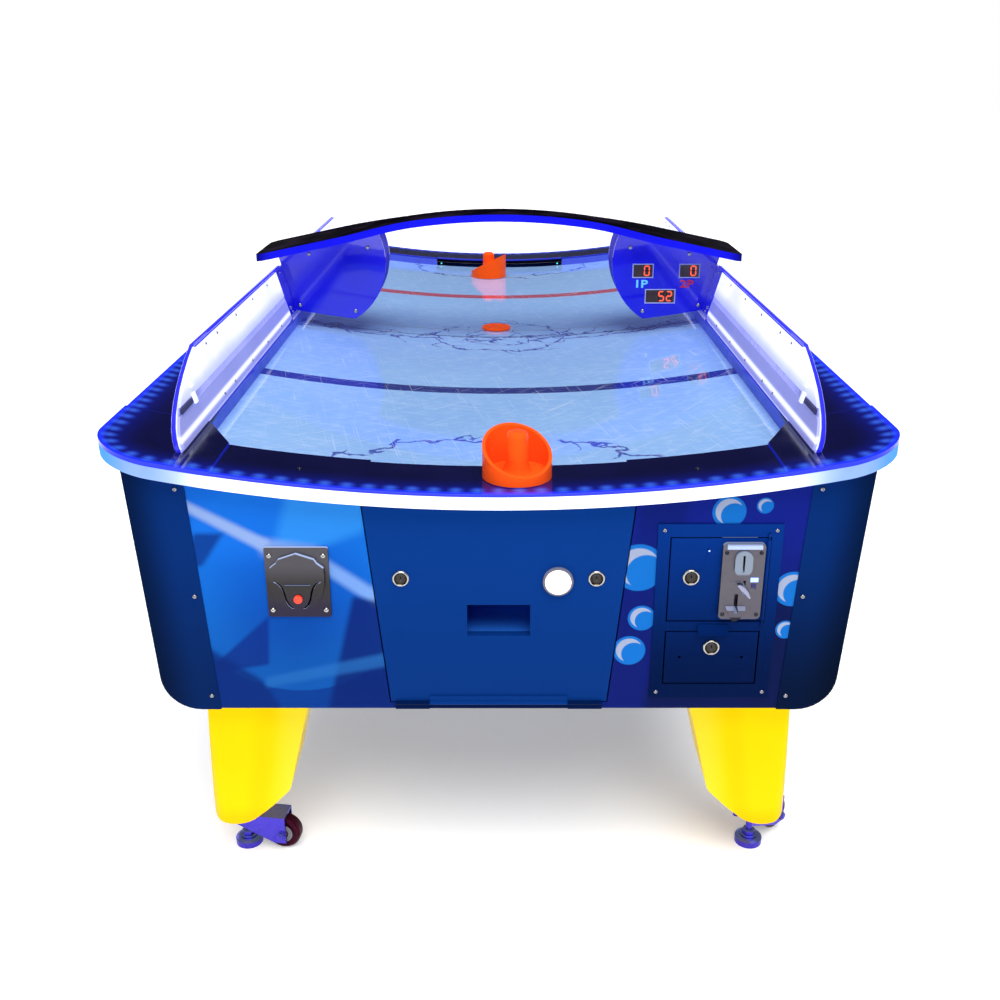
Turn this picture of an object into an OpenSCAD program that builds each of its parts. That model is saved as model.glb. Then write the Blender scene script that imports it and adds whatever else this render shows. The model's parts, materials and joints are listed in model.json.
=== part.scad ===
// Curved air hockey table on four legs. Millimetres, +Z up, +Y away from the coin end.
// The origin lies on the floor under the middle of the table.

/* [Rim] */
// Overall length of the rim
rim_l = 2220; // [2200:10:2400]
// Overall width of the rim
rim_w = 1210; // [1190:10:1260]
// Height of the rim's top on the centre line
rim_z = 728; // [700:1:760]
// Radius of the trough that the field and the rim follow
trough_r = 2700; // [2400:50:3600]
// Corner radius of the rim in plan
rim_corner_r = 100; // [60:5:120]
// Thickness of the glossy deck on the rim
deck_t = 5; // [4:1:7]
// How far the corner caps stand above the deck
cap_rise = 2; // [1:0.5:3]
// Height of the lit edge band
band_h = 20; // [16:1:24]
// Depth of the lit edge band behind the rim's edge
band_t = 12; // [8:1:20]

/* [Field] */
// Width of the field between the side rails
field_w = 940; // [920:10:960]
// Length of the field between the end rails
field_l = 1954; // [1940:2:1960]
// Depth of the field below the rim's top
field_drop = 24; // [20:1:26]
// Thickness of the field plate
field_t = 6; // [4:1:10]
// Width of the cut corners of the field
corner_cut_x = 50; // [30:5:60]
// Length of the cut corners of the field
corner_cut_y = 87; // [60:1:100]
// Width of the goal mouth
goal_w = 400; // [300:10:410]
// Height of the wooden walls that close the air chamber
plenum_h = 68; // [50:1:90]

/* [Cabinet] */
// Length of the cabinet over its end panels
cab_l = 2166; // [2150:2:2170]
// Height of the cabinet's underside
cab_z = 350; // [330:1:370]
// Half the width of the cabinet's underside
cab_half = 532; // [520:1:540]
// Outward lean of the side walls
cab_lean = 3.4; // [2:0.1:4]
// Radius of the cabinet's lower long edges
cab_r = 60; // [40:5:80]
// Thickness of the side walls and the base
wall_t = 15; // [12:1:18]
// Thickness of the end panels
panel_t = 18; // [15:1:20]

/* [Access door] */
// Half the width of the door at its foot
door_half_low = 172; // [160:1:180]
// Half the width of the door under the rim
door_half_top = 205; // [190:1:210]
// Thickness of the door
door_t = 15; // [12:1:16]
// Gap round the door
door_gap = 2; // [1:0.5:3]
// Distance of each door lock from the centre line
door_lock_x = 150; // [140:1:155]
// Height of the door locks and the start button
door_lock_z = 580; // [560:1:600]
// Distance of the start button from the centre line
button_x = 91; // [88:1:96]
// Radius of the start button's cap
button_r = 20; // [16:1:22]
// Travel of the start button
button_travel = 4; // [2:1:6]
// Width of the puck outlet
outlet_w = 98; // [90:1:102]
// Height of the puck outlet
outlet_h = 54; // [45:1:60]
// Height of the puck outlet's lower edge
outlet_z = 481; // [470:1:490]

/* [Coin gear] */
// Left edge of the coin door's frame
frame_x = 240; // [236:1:246]
// Lower edge of the coin door's frame
frame_z = 372; // [368:1:380]
// Width of the coin door's frame
frame_w = 189; // [185:1:192]
// Height of the coin door's frame
frame_h = 299; // [295:1:305]
// Height of the coin acceptor's plate
acceptor_h = 127; // [120:1:128]
// Width of the coin acceptor's plate
acceptor_w = 64.5; // [60:0.5:66]
// Width of the token reader's plate
reader_w = 97; // [90:1:105]
// Height of the token reader's plate
reader_h = 117; // [110:1:125]
// Centre of the token reader from the centre line
reader_x = -307; // [-312:1:-296]
// Centre height of the token reader
reader_z = 575; // [560:1:590]
// Depth of the cash drawer's bin
bin_l = 180; // [150:5:190]

/* [Guards and bridge] */
// Outward lean of the side guards
guard_lean = 15.6; // [10:0.1:18]
// Slant height of the side guards
guard_h = 117; // [100:1:125]
// Thickness of the guards' clear panes
pane_t = 8; // [6:1:10]
// Thickness of the lit strips on the panes
strip_t = 4; // [3:1:5]
// Half length of a guard along its foot
guard_half_foot = 1053; // [1040:1:1060]
// Half length of a guard at its shoulder
guard_half_mid = 911; // [900:1:930]
// Half length of a guard along its top
guard_half_top = 817; // [800:1:830]
// Slant height of the guard's shoulder
guard_mid_h = 92; // [85:1:95]
// Height of the arch's underside on the centre line
arch_z = 981; // [960:1:1000]
// Radius of the arch's underside over its middle
arch_r = 1430; // [1350:10:1700]
// Thickness of the arch
arch_t = 16; // [10:1:18]
// Width of the arch at its middle
arch_w = 112; // [108:2:130]
// Width of the arch at its flared ends
arch_end_w = 208; // [160:2:230]
// Half the span of the arch
arch_half = 549; // [540:1:570]
// Gap between the posts' undersides and the field
post_gap = 34; // [25:1:40]
// Radius of the posts' round inner side
post_r = 152; // [148:1:155]

/* [Legs and casters] */
// Distance of the levelling feet from the centre line
foot_x = 452; // [445:1:458]
// Distance of the levelling feet from the middle of the table
foot_y = 968; // [960:1:975]
// Radius of the levelling feet
foot_r = 24; // [20:1:26]
// Radius of the caster wheels
wheel_r = 31; // [28:1:31]
// Width of the caster wheels
wheel_w = 24; // [18:1:24]
// Distance from the swivel axis to the wheel's axle
trail = 68; // [64:1:70]

/* [Loose pieces] */
// Radius of the puck
puck_r = 35; // [30:1:38]
// Thickness of the puck
puck_t = 6; // [5:1:8]
// Radius of a striker's skirt
striker_r = 53; // [45:1:55]
// Height of a striker's grip
striker_h = 72; // [65:1:80]

/* [Hidden] */
$fn = 48;
eps = 0.01;

// Heights on the centre line
rim_low = rim_z - deck_t - band_h;
deck_low = rim_z - deck_t;
field_z = rim_z - field_drop;
plenum_top = field_z - field_t;
shelf_top = plenum_top - plenum_h;
shelf_t = 12;

// Half sizes
rim_x = rim_w / 2;
rim_y = rim_l / 2;
field_x = field_w / 2;
field_y = field_l / 2;
face_y = cab_l / 2;
inner_y = face_y - panel_t;
cap_x = field_x - corner_cut_x;
cap_y = field_y - corner_cut_y;
plenum_y = field_y - 2;
plenum_x = field_x + 15;
sky = 1200;

// The trough is straight between steps, so that layers stacked on each other seat face to face
trough_step = 40;
function arc_rise(x) = trough_r - sqrt(trough_r * trough_r - x * x);
function rise(x) =
    let (a = floor(x / trough_step) * trough_step, f = (x - a) / trough_step)
    arc_rise(a) * (1 - f) + arc_rise(a + trough_step) * f;
function steps(x0, x1) =
    let (first = floor(x0 / trough_step) + 1, last = ceil(x1 / trough_step) - 1)
    concat([x0], [for (k = [first : last]) k * trough_step], [x1]);
function reversed(list) = [for (i = [len(list) - 1 : -1 : 0]) list[i]];

// A layer of the trough between two heights given on the centre line
module trough_slab(x0, x1, y0, y1, z0, z1) {
    xs = steps(x0, x1);
    low = [for (x = xs) [x, z0 + rise(x)]];
    top = [for (x = xs) [x, z1 + rise(x)]];
    translate([0, y1, 0]) rotate([90, 0, 0]) linear_extrude(y1 - y0) polygon(concat(low, reversed(top)));
}

// Everything between a trough surface and the sky
module above_trough(z) {
    xs = steps(-rim_x - 40, rim_x + 40);
    low = [for (x = xs) [x, z + rise(x)]];
    translate([0, rim_y + 40, 0]) rotate([90, 0, 0]) linear_extrude(rim_l + 80)
        polygon(concat(low, [[rim_x + 40, sky], [-rim_x - 40, sky]]));
}

// A solid made from an outline in X and Z, between two places along Y
module along_y(y0, y1) {
    translate([0, y1, 0]) rotate([90, 0, 0]) linear_extrude(y1 - y0) children();
}

// A rod along Y
module y_rod(x, z, y0, y1, r) {
    translate([x, y0, z]) rotate([-90, 0, 0]) cylinder(h = y1 - y0, r = r);
}

// A rod along X
module x_rod(y, z, x0, x1, r) {
    translate([x0, y, z]) rotate([0, 90, 0]) cylinder(h = x1 - x0, r = r);
}

// A block between two corners
module block(a, b) {
    translate(a) cube(b - a);
}

// Both long sides, both ends and all four quarters of the table
module both_sides() {
    children();
    mirror([1, 0, 0]) children();
}
module both_ends() {
    children();
    rotate([0, 0, 180]) children();
}
module four_quarters() {
    for (sx = [0, 1], sy = [0, 1]) mirror([sx, 0, 0]) mirror([0, sy, 0]) children();
}

// Plan of the rim, pulled in by an inset
module rim_plan(inset) {
    w = rim_w - 2 * inset;
    l = rim_l - 2 * inset;
    r = rim_corner_r - inset;
    square([w - 2 * r, l], center = true);
    square([w, l - 2 * r], center = true);
    for (sx = [-1, 1], sy = [-1, 1]) translate([sx * (w / 2 - r), sy * (l / 2 - r)]) circle(r);
}

// Plan of the field with its cut corners
module field_plan() {
    polygon([[-cap_x, -field_y], [cap_x, -field_y], [field_x, -cap_y], [field_x, cap_y],
             [cap_x, field_y], [-cap_x, field_y], [-field_x, cap_y], [-field_x, -cap_y]]);
}

// Rim and field

goal_depth = 78;
module rim_frame() {
    color("midnightblue") intersection() {
        trough_slab(-rim_x, rim_x, -rim_y, rim_y, rim_low, deck_low);
        translate([0, 0, rim_low - 20]) linear_extrude(200) difference() {
            rim_plan(band_t);
            field_plan();
            for (sy = [-1, 1]) translate([0, sy * (field_y + goal_depth / 2)])
                square([goal_w, goal_depth + 2], center = true);
        }
    }
}

module edge_band() {
    color("paleturquoise") intersection() {
        trough_slab(-rim_x, rim_x, -rim_y, rim_y, rim_low, deck_low);
        translate([0, 0, rim_low - 20]) linear_extrude(200) difference() {
            rim_plan(0);
            rim_plan(band_t);
        }
    }
}

goal_notch = 8;
module end_decks() {
    color("navy") both_ends() difference() {
        trough_slab(-cap_x, cap_x, -rim_y, -field_y, deck_low, rim_z);
        block([-goal_w / 2, -field_y - goal_notch, deck_low - 1], [goal_w / 2, -field_y + 1, rim_z + 20]);
    }
}

module side_decks() {
    color("navy") both_sides() trough_slab(field_x, rim_x, -cap_y, cap_y, deck_low, rim_z);
}

module corner_caps() {
    color("navy") four_quarters() intersection() {
        trough_slab(cap_x, rim_x, cap_y, rim_y, deck_low, rim_z + cap_rise);
        translate([0, 0, deck_low - 20]) linear_extrude(200) intersection() {
            rim_plan(0);
            polygon([[cap_x, field_y], [cap_x, rim_y], [rim_x, rim_y], [rim_x, cap_y], [field_x, cap_y]]);
        }
    }
}

module playfield() {
    color("lightsteelblue") intersection() {
        trough_slab(-field_x, field_x, -field_y, field_y, plenum_top, field_z);
        translate([0, 0, plenum_top - 20]) linear_extrude(200) field_plan();
    }
}

plenum_wall = 18;
module air_plenum() {
    color("burlywood") difference() {
        block([-plenum_x, -plenum_y, shelf_top], [plenum_x, plenum_y, sky]);
        above_trough(plenum_top);
        block([-plenum_x + plenum_wall, -plenum_y + plenum_wall, shelf_top - 1],
              [plenum_x - plenum_wall, plenum_y - plenum_wall, sky + 1]);
    }
}

blower_mouth_r = 105;
module plenum_shelf() {
    color("burlywood") difference() {
        intersection() {
            along_y(-plenum_y, plenum_y) cabinet_outline(-wall_t);
            block([-rim_x, -rim_y, shelf_top - shelf_t], [rim_x, rim_y, shelf_top]);
        }
        translate([0, 0, shelf_top - shelf_t - 1]) cylinder(h = shelf_t + 2, r = blower_mouth_r);
    }
}

// Cabinet

// Cross section of the cabinet, grown or shrunk all round
corner_x = cab_half + cab_r * tan(cab_lean) - cab_r / cos(cab_lean);
corner_z = cab_z + cab_r;
function side_x(grow, z) = corner_x + (cab_r + grow) / cos(cab_lean) + (z - corner_z) * tan(cab_lean);
function corner_arc(grow) =
    [for (i = [0 : 9]) let (a = -cab_lean - i * (90 - cab_lean) / 9)
        [corner_x + (cab_r + grow) * cos(a), corner_z + (cab_r + grow) * sin(a)]];
module cabinet_outline(grow) {
    half = concat([[side_x(grow, sky), sky]], corner_arc(grow));
    polygon(concat(half, [for (p = reversed(half)) [-p[0], p[1]]]));
}

module side_walls() {
    color("royalblue") both_sides() difference() {
        along_y(-inner_y, inner_y) difference() {
            cabinet_outline(0);
            cabinet_outline(-wall_t);
            translate([-sky, 0]) square([sky + corner_x, sky + 1]);
        }
        above_trough(rim_low);
    }
}

module base_board() {
    color("midnightblue") block([-corner_x, -inner_y, cab_z], [corner_x, inner_y, cab_z + wall_t]);
}

// Half the width of the access door at a height
door_low = 363;
door_top = rim_low - 4;
function door_half(z) =
    door_half_low + (z - door_low) * (door_half_top - door_half_low) / (rim_z - field_drop - door_low);
module door_outline(gap) {
    z0 = door_low - gap;
    polygon([[-door_half(z0) - gap, z0], [door_half(z0) + gap, z0],
             [door_half(sky) + gap, sky], [-door_half(sky) - gap, sky]]);
}

module end_panel() {
    difference() {
        along_y(-face_y, -inner_y) difference() {
            cabinet_outline(0);
            door_outline(door_gap);
        }
        above_trough(rim_low);
    }
}

// Hole for the coin door's box in the front panel
box_side = 8;
box_x0 = frame_x + box_side;
box_x1 = frame_x + frame_w - box_side;
box_z0 = frame_z + 14;
box_z1 = frame_z + frame_h - 10;
reader_body_w = reader_w - 22;
reader_body_h = reader_h - 26;
module front_panel() {
    color("mediumblue") difference() {
        end_panel();
        block([box_x0, -face_y - 1, box_z0], [box_x1, -inner_y + 1, box_z1]);
        block([reader_x - reader_body_w / 2, -face_y - 1, reader_z - reader_body_h / 2],
              [reader_x + reader_body_w / 2, -inner_y + 1, reader_z + reader_body_h / 2]);
    }
}

module rear_panel() {
    color("mediumblue") rotate([0, 0, 180]) end_panel();
}

// Bent metal guards over the four upright corners
guard_skin = 1.5;
guard_wrap = 40;
seam_low = 445;
seam_top = 466;
module corner_guards() {
    color("steelblue") four_quarters() difference() {
        along_y(face_y - guard_wrap, face_y + guard_skin) difference() {
            cabinet_outline(guard_skin);
            polygon([[seam_low, 0], [seam_low, cab_z], [seam_top, rim_z], [seam_top, sky + 1],
                     [-sky, sky + 1], [-sky, 0]]);
        }
        along_y(0, face_y) cabinet_outline(0);
        above_trough(rim_low);
    }
}

// Access door, hinged along its foot

hinge_y = -face_y - 3;
hinge_z = door_low - 1.5;
knuckle_r = 3;
pin_r = 1.5;
hinge_half = 165;
knuckle_half = 110;
outlet_x0 = -outlet_w / 2;
lock_bezel_r = 13.5;
lock_barrel_r = 9.5;
lock_plug_r = 7;
running = 0.05;

module access_door() {
    difference() {
        along_y(-face_y, -face_y + door_t) intersection() {
            door_outline(0);
            translate([-sky, door_low]) square([2 * sky, sky]);
        }
        above_trough(door_top);
        block([outlet_x0, -face_y - 1, outlet_z], [-outlet_x0, -face_y + door_t + 1, outlet_z + outlet_h]);
    }
}

module front_door() {
    color("royalblue") difference() {
        union() {
            access_door();
            x_rod(hinge_y, hinge_z, -knuckle_half, knuckle_half, knuckle_r);
            block([-knuckle_half, hinge_y, hinge_z + 1], [knuckle_half, -face_y, hinge_z + 12]);
        }
        x_rod(hinge_y, hinge_z, -knuckle_half - 1, knuckle_half + 1, pin_r + running);
        for (sx = [-1, 1])
            y_rod(sx * door_lock_x, door_lock_z, -face_y - 1, -face_y + door_t + 1, lock_barrel_r);
        y_rod(button_x, door_lock_z - 4, -face_y - 1, -face_y + door_t + 1, button_body_r);
    }
}

module front_hinge() {
    color("slategray") union() {
        x_rod(hinge_y, hinge_z, -hinge_half, hinge_half, pin_r);
        for (sx = [0, 1]) mirror([sx, 0, 0]) {
            x_rod(hinge_y, hinge_z, knuckle_half + 0.5, hinge_half, knuckle_r);
            block([knuckle_half + 0.5, hinge_y - 1, cab_z + 1], [hinge_half, -face_y, hinge_z - 1]);
        }
        block([-hinge_half, hinge_y + 1, cab_z + 1], [hinge_half, -face_y, hinge_z - knuckle_r - 1]);
    }
}

// Cam lock: a barrel fixed in the door and a plug that turns in it
module lock_barrel(x, z, face, depth) {
    color("silver") difference() {
        union() {
            translate([x, face, z]) rotate([90, 0, 0]) rotate_extrude($fn = 64)
                polygon([[0, 0], [lock_bezel_r, 0], [lock_bezel_r, 1], [lock_bezel_r - 1.4, 3],
                         [lock_bezel_r - 3, 3], [9, 1.2], [0, 1.2]]);
            y_rod(x, z, face - eps, face + depth, lock_barrel_r);
        }
        y_rod(x, z, face - 4, face + depth + 1, lock_plug_r + running);
    }
}

cam_w = 15;
cam_t = 2.5;
module lock_plug(x, z, face, depth, cam_l, cam_turn) {
    color("gainsboro") difference() {
        union() {
            y_rod(x, z, face - 2, face + depth + 1 + cam_t, lock_plug_r);
            translate([x, 0, z]) rotate([0, cam_turn, 0])
                block([-cam_w / 2, face + depth + 1, -cam_l], [cam_w / 2, face + depth + 1 + cam_t, 0]);
        }
        block([x - 0.8, face - 3, z - 4], [x + 0.8, face + 6, z + 4]);
    }
}

door_lock_depth = panel_t + 1;
door_cam_l = 56;
module front_locks() {
    for (sx = [-1, 1]) lock_barrel(sx * door_lock_x, door_lock_z, -face_y, door_lock_depth);
}
module front_plug_left() { lock_plug(-door_lock_x, door_lock_z, -face_y, door_lock_depth, door_cam_l, 0); }
module front_plug_right() { lock_plug(door_lock_x, door_lock_z, -face_y, door_lock_depth, door_cam_l, 0); }

// Start button: a bezel screwed in the door and a cap that is pushed
button_body_r = 16;
button_stem_r = 12;
button_bezel_r = button_r + 3.5;
button_bezel_h = 5;
button_depth = 36;
module start_bezel() {
    z = door_lock_z - 4;
    color("silver") difference() {
        union() {
            y_rod(button_x, z, -face_y - button_bezel_h, -face_y, button_bezel_r);
            y_rod(button_x, z, -face_y, -face_y + button_depth, button_body_r);
        }
        y_rod(button_x, z, -face_y - button_bezel_h - 1, -face_y - 0.5, button_r + 0.5);
        y_rod(button_x, z, -face_y - 1, -face_y + button_depth - 4, button_stem_r + running);
    }
}

// The cap is a shallow dome: a sphere cut by its skirt
dome_h = 4;
module start_plunger() {
    z = door_lock_z - 4;
    back = -face_y - 0.5 - button_travel - 0.5;
    dome_r = (button_r * button_r + dome_h * dome_h) / (2 * dome_h);
    color("white") union() {
        y_rod(button_x, z, back - 2, back, button_r);
        y_rod(button_x, z, back - eps, back + 20, button_stem_r);
        intersection() {
            translate([button_x, back - 2 - dome_h + dome_r, z]) sphere(r = dome_r, $fn = 96);
            y_rod(button_x, z, back - 2 - dome_h - 1, back - 2 + eps, button_r);
        }
    }
}

module rear_service_panel() {
    color("royalblue") rotate([0, 0, 180]) access_door();
}

// Puck return: a chute under each goal and a tray behind each outlet
sheet = 2;
chute_neck = outlet_w / 2 + 4;
chute_knee_z = 600;
tray_top = outlet_z + outlet_h + 4;
chute_y0 = -inner_y + 6;
chute_y1 = -plenum_y;
module puck_chutes() {
    wide = goal_w / 2 + 4;
    top = rim_low - 6;
    color("gainsboro") both_ends() union() {
        along_y(chute_y1 - 4, chute_y1)
            polygon([[-chute_neck, tray_top], [chute_neck, tray_top], [chute_neck, chute_knee_z],
                     [wide, top], [-wide, top], [-chute_neck, chute_knee_z]]);
        for (sx = [0, 1]) mirror([sx, 0, 0]) along_y(chute_y0, chute_y1 - 4 + eps)
            polygon([[chute_neck - sheet, tray_top], [chute_neck, tray_top], [chute_neck, chute_knee_z],
                     [wide, top], [wide - sheet, top], [chute_neck - sheet, chute_knee_z + sheet]]);
    }
}

module puck_trays() {
    x1 = chute_neck;
    front = -face_y + door_t + 2;
    color("gainsboro") both_ends() difference() {
        block([-x1, front, outlet_z - sheet], [x1, chute_y1, tray_top]);
        block([-x1 + sheet, front - 1, outlet_z], [x1 - sheet, chute_y1 - sheet, tray_top + 1]);
    }
}

// Coin door and cash drawer

flange_t = 2.5;
hatch_gap = 2;
upper_x0 = frame_x + 19;
upper_x1 = frame_x + 172;
upper_z0 = frame_z + 135;
upper_z1 = frame_z + 278;
lower_x0 = frame_x + 19;
lower_x1 = frame_x + 167;
lower_z0 = frame_z + 24;
lower_z1 = frame_z + 119;
box_back = -face_y + 40;
coin_pin_x = upper_x1 - 4;
coin_pin_y = -face_y - flange_t - 1;
coin_pin_r = 1.5;
coin_knuckle_r = 3;
hatch_face = -face_y - 2;
module coin_frame() {
    y0 = -face_y - flange_t;
    color("royalblue") union() {
        difference() {
            union() {
                block([frame_x, y0, frame_z], [frame_x + frame_w, -face_y, frame_z + frame_h]);
                block([box_x0, -face_y - eps, box_z0], [box_x1, box_back, box_z1]);
            }
            block([upper_x0, y0 - 1, upper_z0], [upper_x1, -face_y + 1, upper_z1]);
            block([lower_x0, y0 - 1, lower_z0], [lower_x1, -face_y + 1, lower_z1]);
            block([box_x0 + sheet, -face_y, box_z0 + sheet], [box_x1 - sheet, box_back + 1, box_z1 - sheet]);
        }
        block([box_x0 + sheet - eps, -face_y + 4, lower_z0 + 1],
              [box_x1 - sheet + eps, -face_y + bin_l + 6, lower_z0 + 3]);
        translate([coin_pin_x, coin_pin_y, upper_z0 - 6])
            cylinder(h = upper_z1 - upper_z0 + 12, r = coin_pin_r);
        for (z = [upper_z0 - 6, upper_z1 + 2]) {
            translate([coin_pin_x, coin_pin_y, z]) cylinder(h = 4, r = coin_knuckle_r);
            block([coin_pin_x - coin_knuckle_r, coin_pin_y, z],
                  [coin_pin_x + coin_knuckle_r, -face_y - 1, z + 4]);
        }
        hood();
    }
}

// Small hood over the cash drawer's lock
module hood() {
    x = (lower_x0 + lower_x1) / 2;
    y = -face_y - flange_t;
    translate([x - 24, 0, 0]) rotate([90, 0, 90]) linear_extrude(48)
        polygon([[y + eps, lower_z1 + 12], [y, lower_z1 + 1], [y - 5, lower_z1 - 6], [y - 6.5, lower_z1 - 5],
                 [y - 1.5, lower_z1 + 12]]);
}

acceptor_x = upper_x1 - 9 - acceptor_w / 2;
acceptor_z = upper_z0 + 8 + acceptor_h / 2;
acceptor_t = 7;
coin_lock_x = frame_x + 54;
coin_lock_z = frame_z + 211;
body_in = 5;
module coin_door() {
    z0 = upper_z0 + hatch_gap;
    z1 = upper_z1 - hatch_gap;
    color("royalblue") difference() {
        union() {
            block([upper_x0 + hatch_gap, hatch_face, z0], [coin_pin_x - 2, hatch_face + 3, z1]);
            translate([coin_pin_x, coin_pin_y, z0 + 2]) cylinder(h = z1 - z0 - 4, r = coin_knuckle_r);
            block([coin_pin_x - 4, coin_pin_y, z0 + 2], [coin_pin_x, hatch_face + 3, z1 - 2]);
        }
        translate([coin_pin_x, coin_pin_y, z0]) cylinder(h = z1 - z0, r = coin_pin_r + running);
        y_rod(coin_lock_x, coin_lock_z, hatch_face - 1, hatch_face + 4, lock_barrel_r);
        y_rod(coin_lock_x + 24, coin_lock_z + 46, hatch_face - 1, hatch_face + 4, 1.6);
        acceptor_body(hatch_face - 1, hatch_face + 4);
    }
}
// The acceptor's works behind its plate, between two places along Y
module acceptor_body(y0, y1) {
    half_w = acceptor_w / 2 - body_in;
    half_h = acceptor_h / 2 - body_in;
    block([acceptor_x - half_w, y0, acceptor_z - half_h], [acceptor_x + half_w, y1, acceptor_z + half_h]);
}

// Coin acceptor: a cast plate with an upright coin entry, a ledge, a lever slot and a pointed return cup
entry_z = acceptor_z + 31;
entry_w = 27;
entry_h = 42;
cup_x = acceptor_x - 7;
cup_z = acceptor_z - 42;
lever_x = acceptor_x + 4;
lever_z = acceptor_z - 10;
// An upright outline with round corners about a centre, on X and Z
module rounded_plate(x, z, w, h, r) {
    translate([x, z]) {
        square([w - 2 * r, h], center = true);
        square([w, h - 2 * r], center = true);
        for (sx = [-1, 1], sz = [-1, 1]) translate([sx * (w / 2 - r), sz * (h / 2 - r)]) circle(r);
    }
}
module entry_boss() {
    lift = (entry_h - entry_w) / 2;
    square_r = entry_w / 2;
    translate([acceptor_x, entry_z]) {
        square([entry_w, 2 * lift], center = true);
        for (sz = [-1, 1]) translate([0, sz * lift]) circle(square_r);
    }
}
module coin_acceptor() {
    y0 = hatch_face - acceptor_t;
    top = acceptor_z + acceptor_h / 2;
    color("silver") difference() {
        union() {
            along_y(y0, hatch_face) rounded_plate(acceptor_x, acceptor_z, acceptor_w, acceptor_h, 7);
            acceptor_body(hatch_face - eps, hatch_face + 45);
            along_y(y0 - 4, y0 + eps) entry_boss();
            translate([acceptor_x - acceptor_w / 2 + 6, 0, 0]) rotate([90, 0, 90])
                linear_extrude(acceptor_w - 12)
                    polygon([
                        [y0 + eps, top - 1], [y0 - 5, top - 2],
                        [y0 - 6, top - 7], [y0 + eps, top - 10]]);
            return_cup(y0);
        }
        block([acceptor_x - 1.6, y0 - 5, entry_z - 14], [acceptor_x + 1.6, hatch_face + 20, entry_z + 14]);
        block([cup_x - 3, y0 - 12, cup_z - 8], [cup_x + 3, hatch_face + 10, cup_z + 21]);
        block([acceptor_x + 14, y0 - 1, acceptor_z - 14], [acceptor_x + 22, y0 + 1.5, acceptor_z - 6]);
        along_y(y0 - 1, y0 + 0.8) rounded_plate(acceptor_x - 10, acceptor_z + 2, 20, 6, 2.9);
        difference() {
            block([lever_x - 2, y0 - 1, lever_z - 12], [lever_x + 2, hatch_face + 12, lever_z + 12]);
            x_rod(lever_pin_y, lever_z, lever_x - 3, lever_x + 3, lever_pin_r);
        }
    }
}
module return_cup(y0) {
    intersection() {
        translate([cup_x - 17, 0, 0]) rotate([90, 0, 90]) linear_extrude(34)
            polygon([[y0 + 1, cup_z + 1], [y0 - 8, cup_z - 3], [y0 - 9, cup_z - 14], [y0 + 1, cup_z - 27]]);
        along_y(y0 - 10, y0 + 1)
            polygon([[cup_x - 16, cup_z + 2], [cup_x - 14, cup_z - 3], [cup_x - 3, cup_z - 26],
                     [cup_x + 3, cup_z - 26], [cup_x + 14, cup_z - 3], [cup_x + 16, cup_z + 2]]);
    }
}

// Reject lever: a slanted finger on a blade that tips on a pin behind the plate
lever_pin_y = hatch_face + 4;
lever_pin_r = 1;
module reject_lever() {
    y0 = hatch_face - acceptor_t;
    color("silver") difference() {
        union() {
            translate([lever_x - 1.5, 0, 0]) rotate([90, 0, 90]) linear_extrude(3)
                polygon([[lever_pin_y + 3, lever_z + 3], [y0 - 7.5, lever_z + 2], [y0 - 7.5, lever_z - 4],
                         [lever_pin_y + 3, lever_z - 3]]);
            along_y(y0 - 7.5, y0 - 4.5) translate([lever_x, lever_z])
                polygon([[-12, 6.5], [-7, 7.5], [0, 3], [6, -5], [10, -14.5], [7.5, -15.5], [1, -8],
                         [-6, -1.5]]);
        }
        x_rod(lever_pin_y, lever_z, lever_x - 3, lever_x + 3, lever_pin_r + running);
    }
}

coin_lock_depth = 18;
module coin_lock() { lock_barrel(coin_lock_x, coin_lock_z, hatch_face, coin_lock_depth); }
module coin_plug() { lock_plug(coin_lock_x, coin_lock_z, hatch_face, coin_lock_depth, 40, 0); }

bin_wall = 1.5;
cash_lock_x = (lower_x0 + lower_x1) / 2;
cash_lock_z = lower_z0 + 66;
module cash_drawer() {
    x0 = lower_x0 + 12;
    x1 = lower_x1 - 12;
    z0 = lower_z0 + 3.5;
    z1 = lower_z0 + 72;
    color("royalblue") difference() {
        union() {
            block([lower_x0 + hatch_gap, hatch_face, lower_z0 + hatch_gap],
                  [lower_x1 - hatch_gap, hatch_face + 3, lower_z1 - hatch_gap]);
            block([x0, hatch_face + 3 - eps, z0], [x1, -face_y + bin_l, z1]);
        }
        block([x0 + bin_wall, hatch_face + 3, z0 + bin_wall],
              [x1 - bin_wall, -face_y + bin_l - bin_wall, z1 + 1]);
        y_rod(cash_lock_x, cash_lock_z, hatch_face - 1, hatch_face + 4, lock_barrel_r);
        for (sx = [-1, 1])
            y_rod(cash_lock_x + sx * 49, cash_lock_z - 18, hatch_face - 1, hatch_face + 4, 2.2);
    }
}
module cash_lock() { lock_barrel(cash_lock_x, cash_lock_z, hatch_face, coin_lock_depth); }
module cash_plug() { lock_plug(cash_lock_x, cash_lock_z, hatch_face, coin_lock_depth, 38, 90); }

// Token reader: a plate with a raised shield, a curved groove down each side, a slot and a lit button
reader_t = 4;
bezel_t = 6;
groove_t = 2;
reader_button_z = reader_z - 25;
reader_button_r = 6.5;
reader_button_travel = 2.5;
shield_top = [[0, 50], [27, 40.5], [31, 34], [41, 26]];
function shield_low() = [for (i = [0 : 9]) [42 * cos(i * 10), 13 - 65 * sin(i * 10)]];
function mirrored(list) = [for (p = reversed(list)) [-p[0], p[1]]];
groove = [[-36.5, 3.5], [-30, -0.5], [-25, -7], [-22, -16], [-20, -27], [-16, -36], [-9.5, -42]];
module shield() {
    right = concat(shield_top, shield_low());
    translate([reader_x, reader_z]) polygon(concat(right, mirrored(right)));
}
module side_groove() {
    translate([reader_x, reader_z])
        polygon(concat(groove, [for (p = reversed(groove)) [p[0] + 2.6, p[1] + 1.2]]));
}
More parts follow.
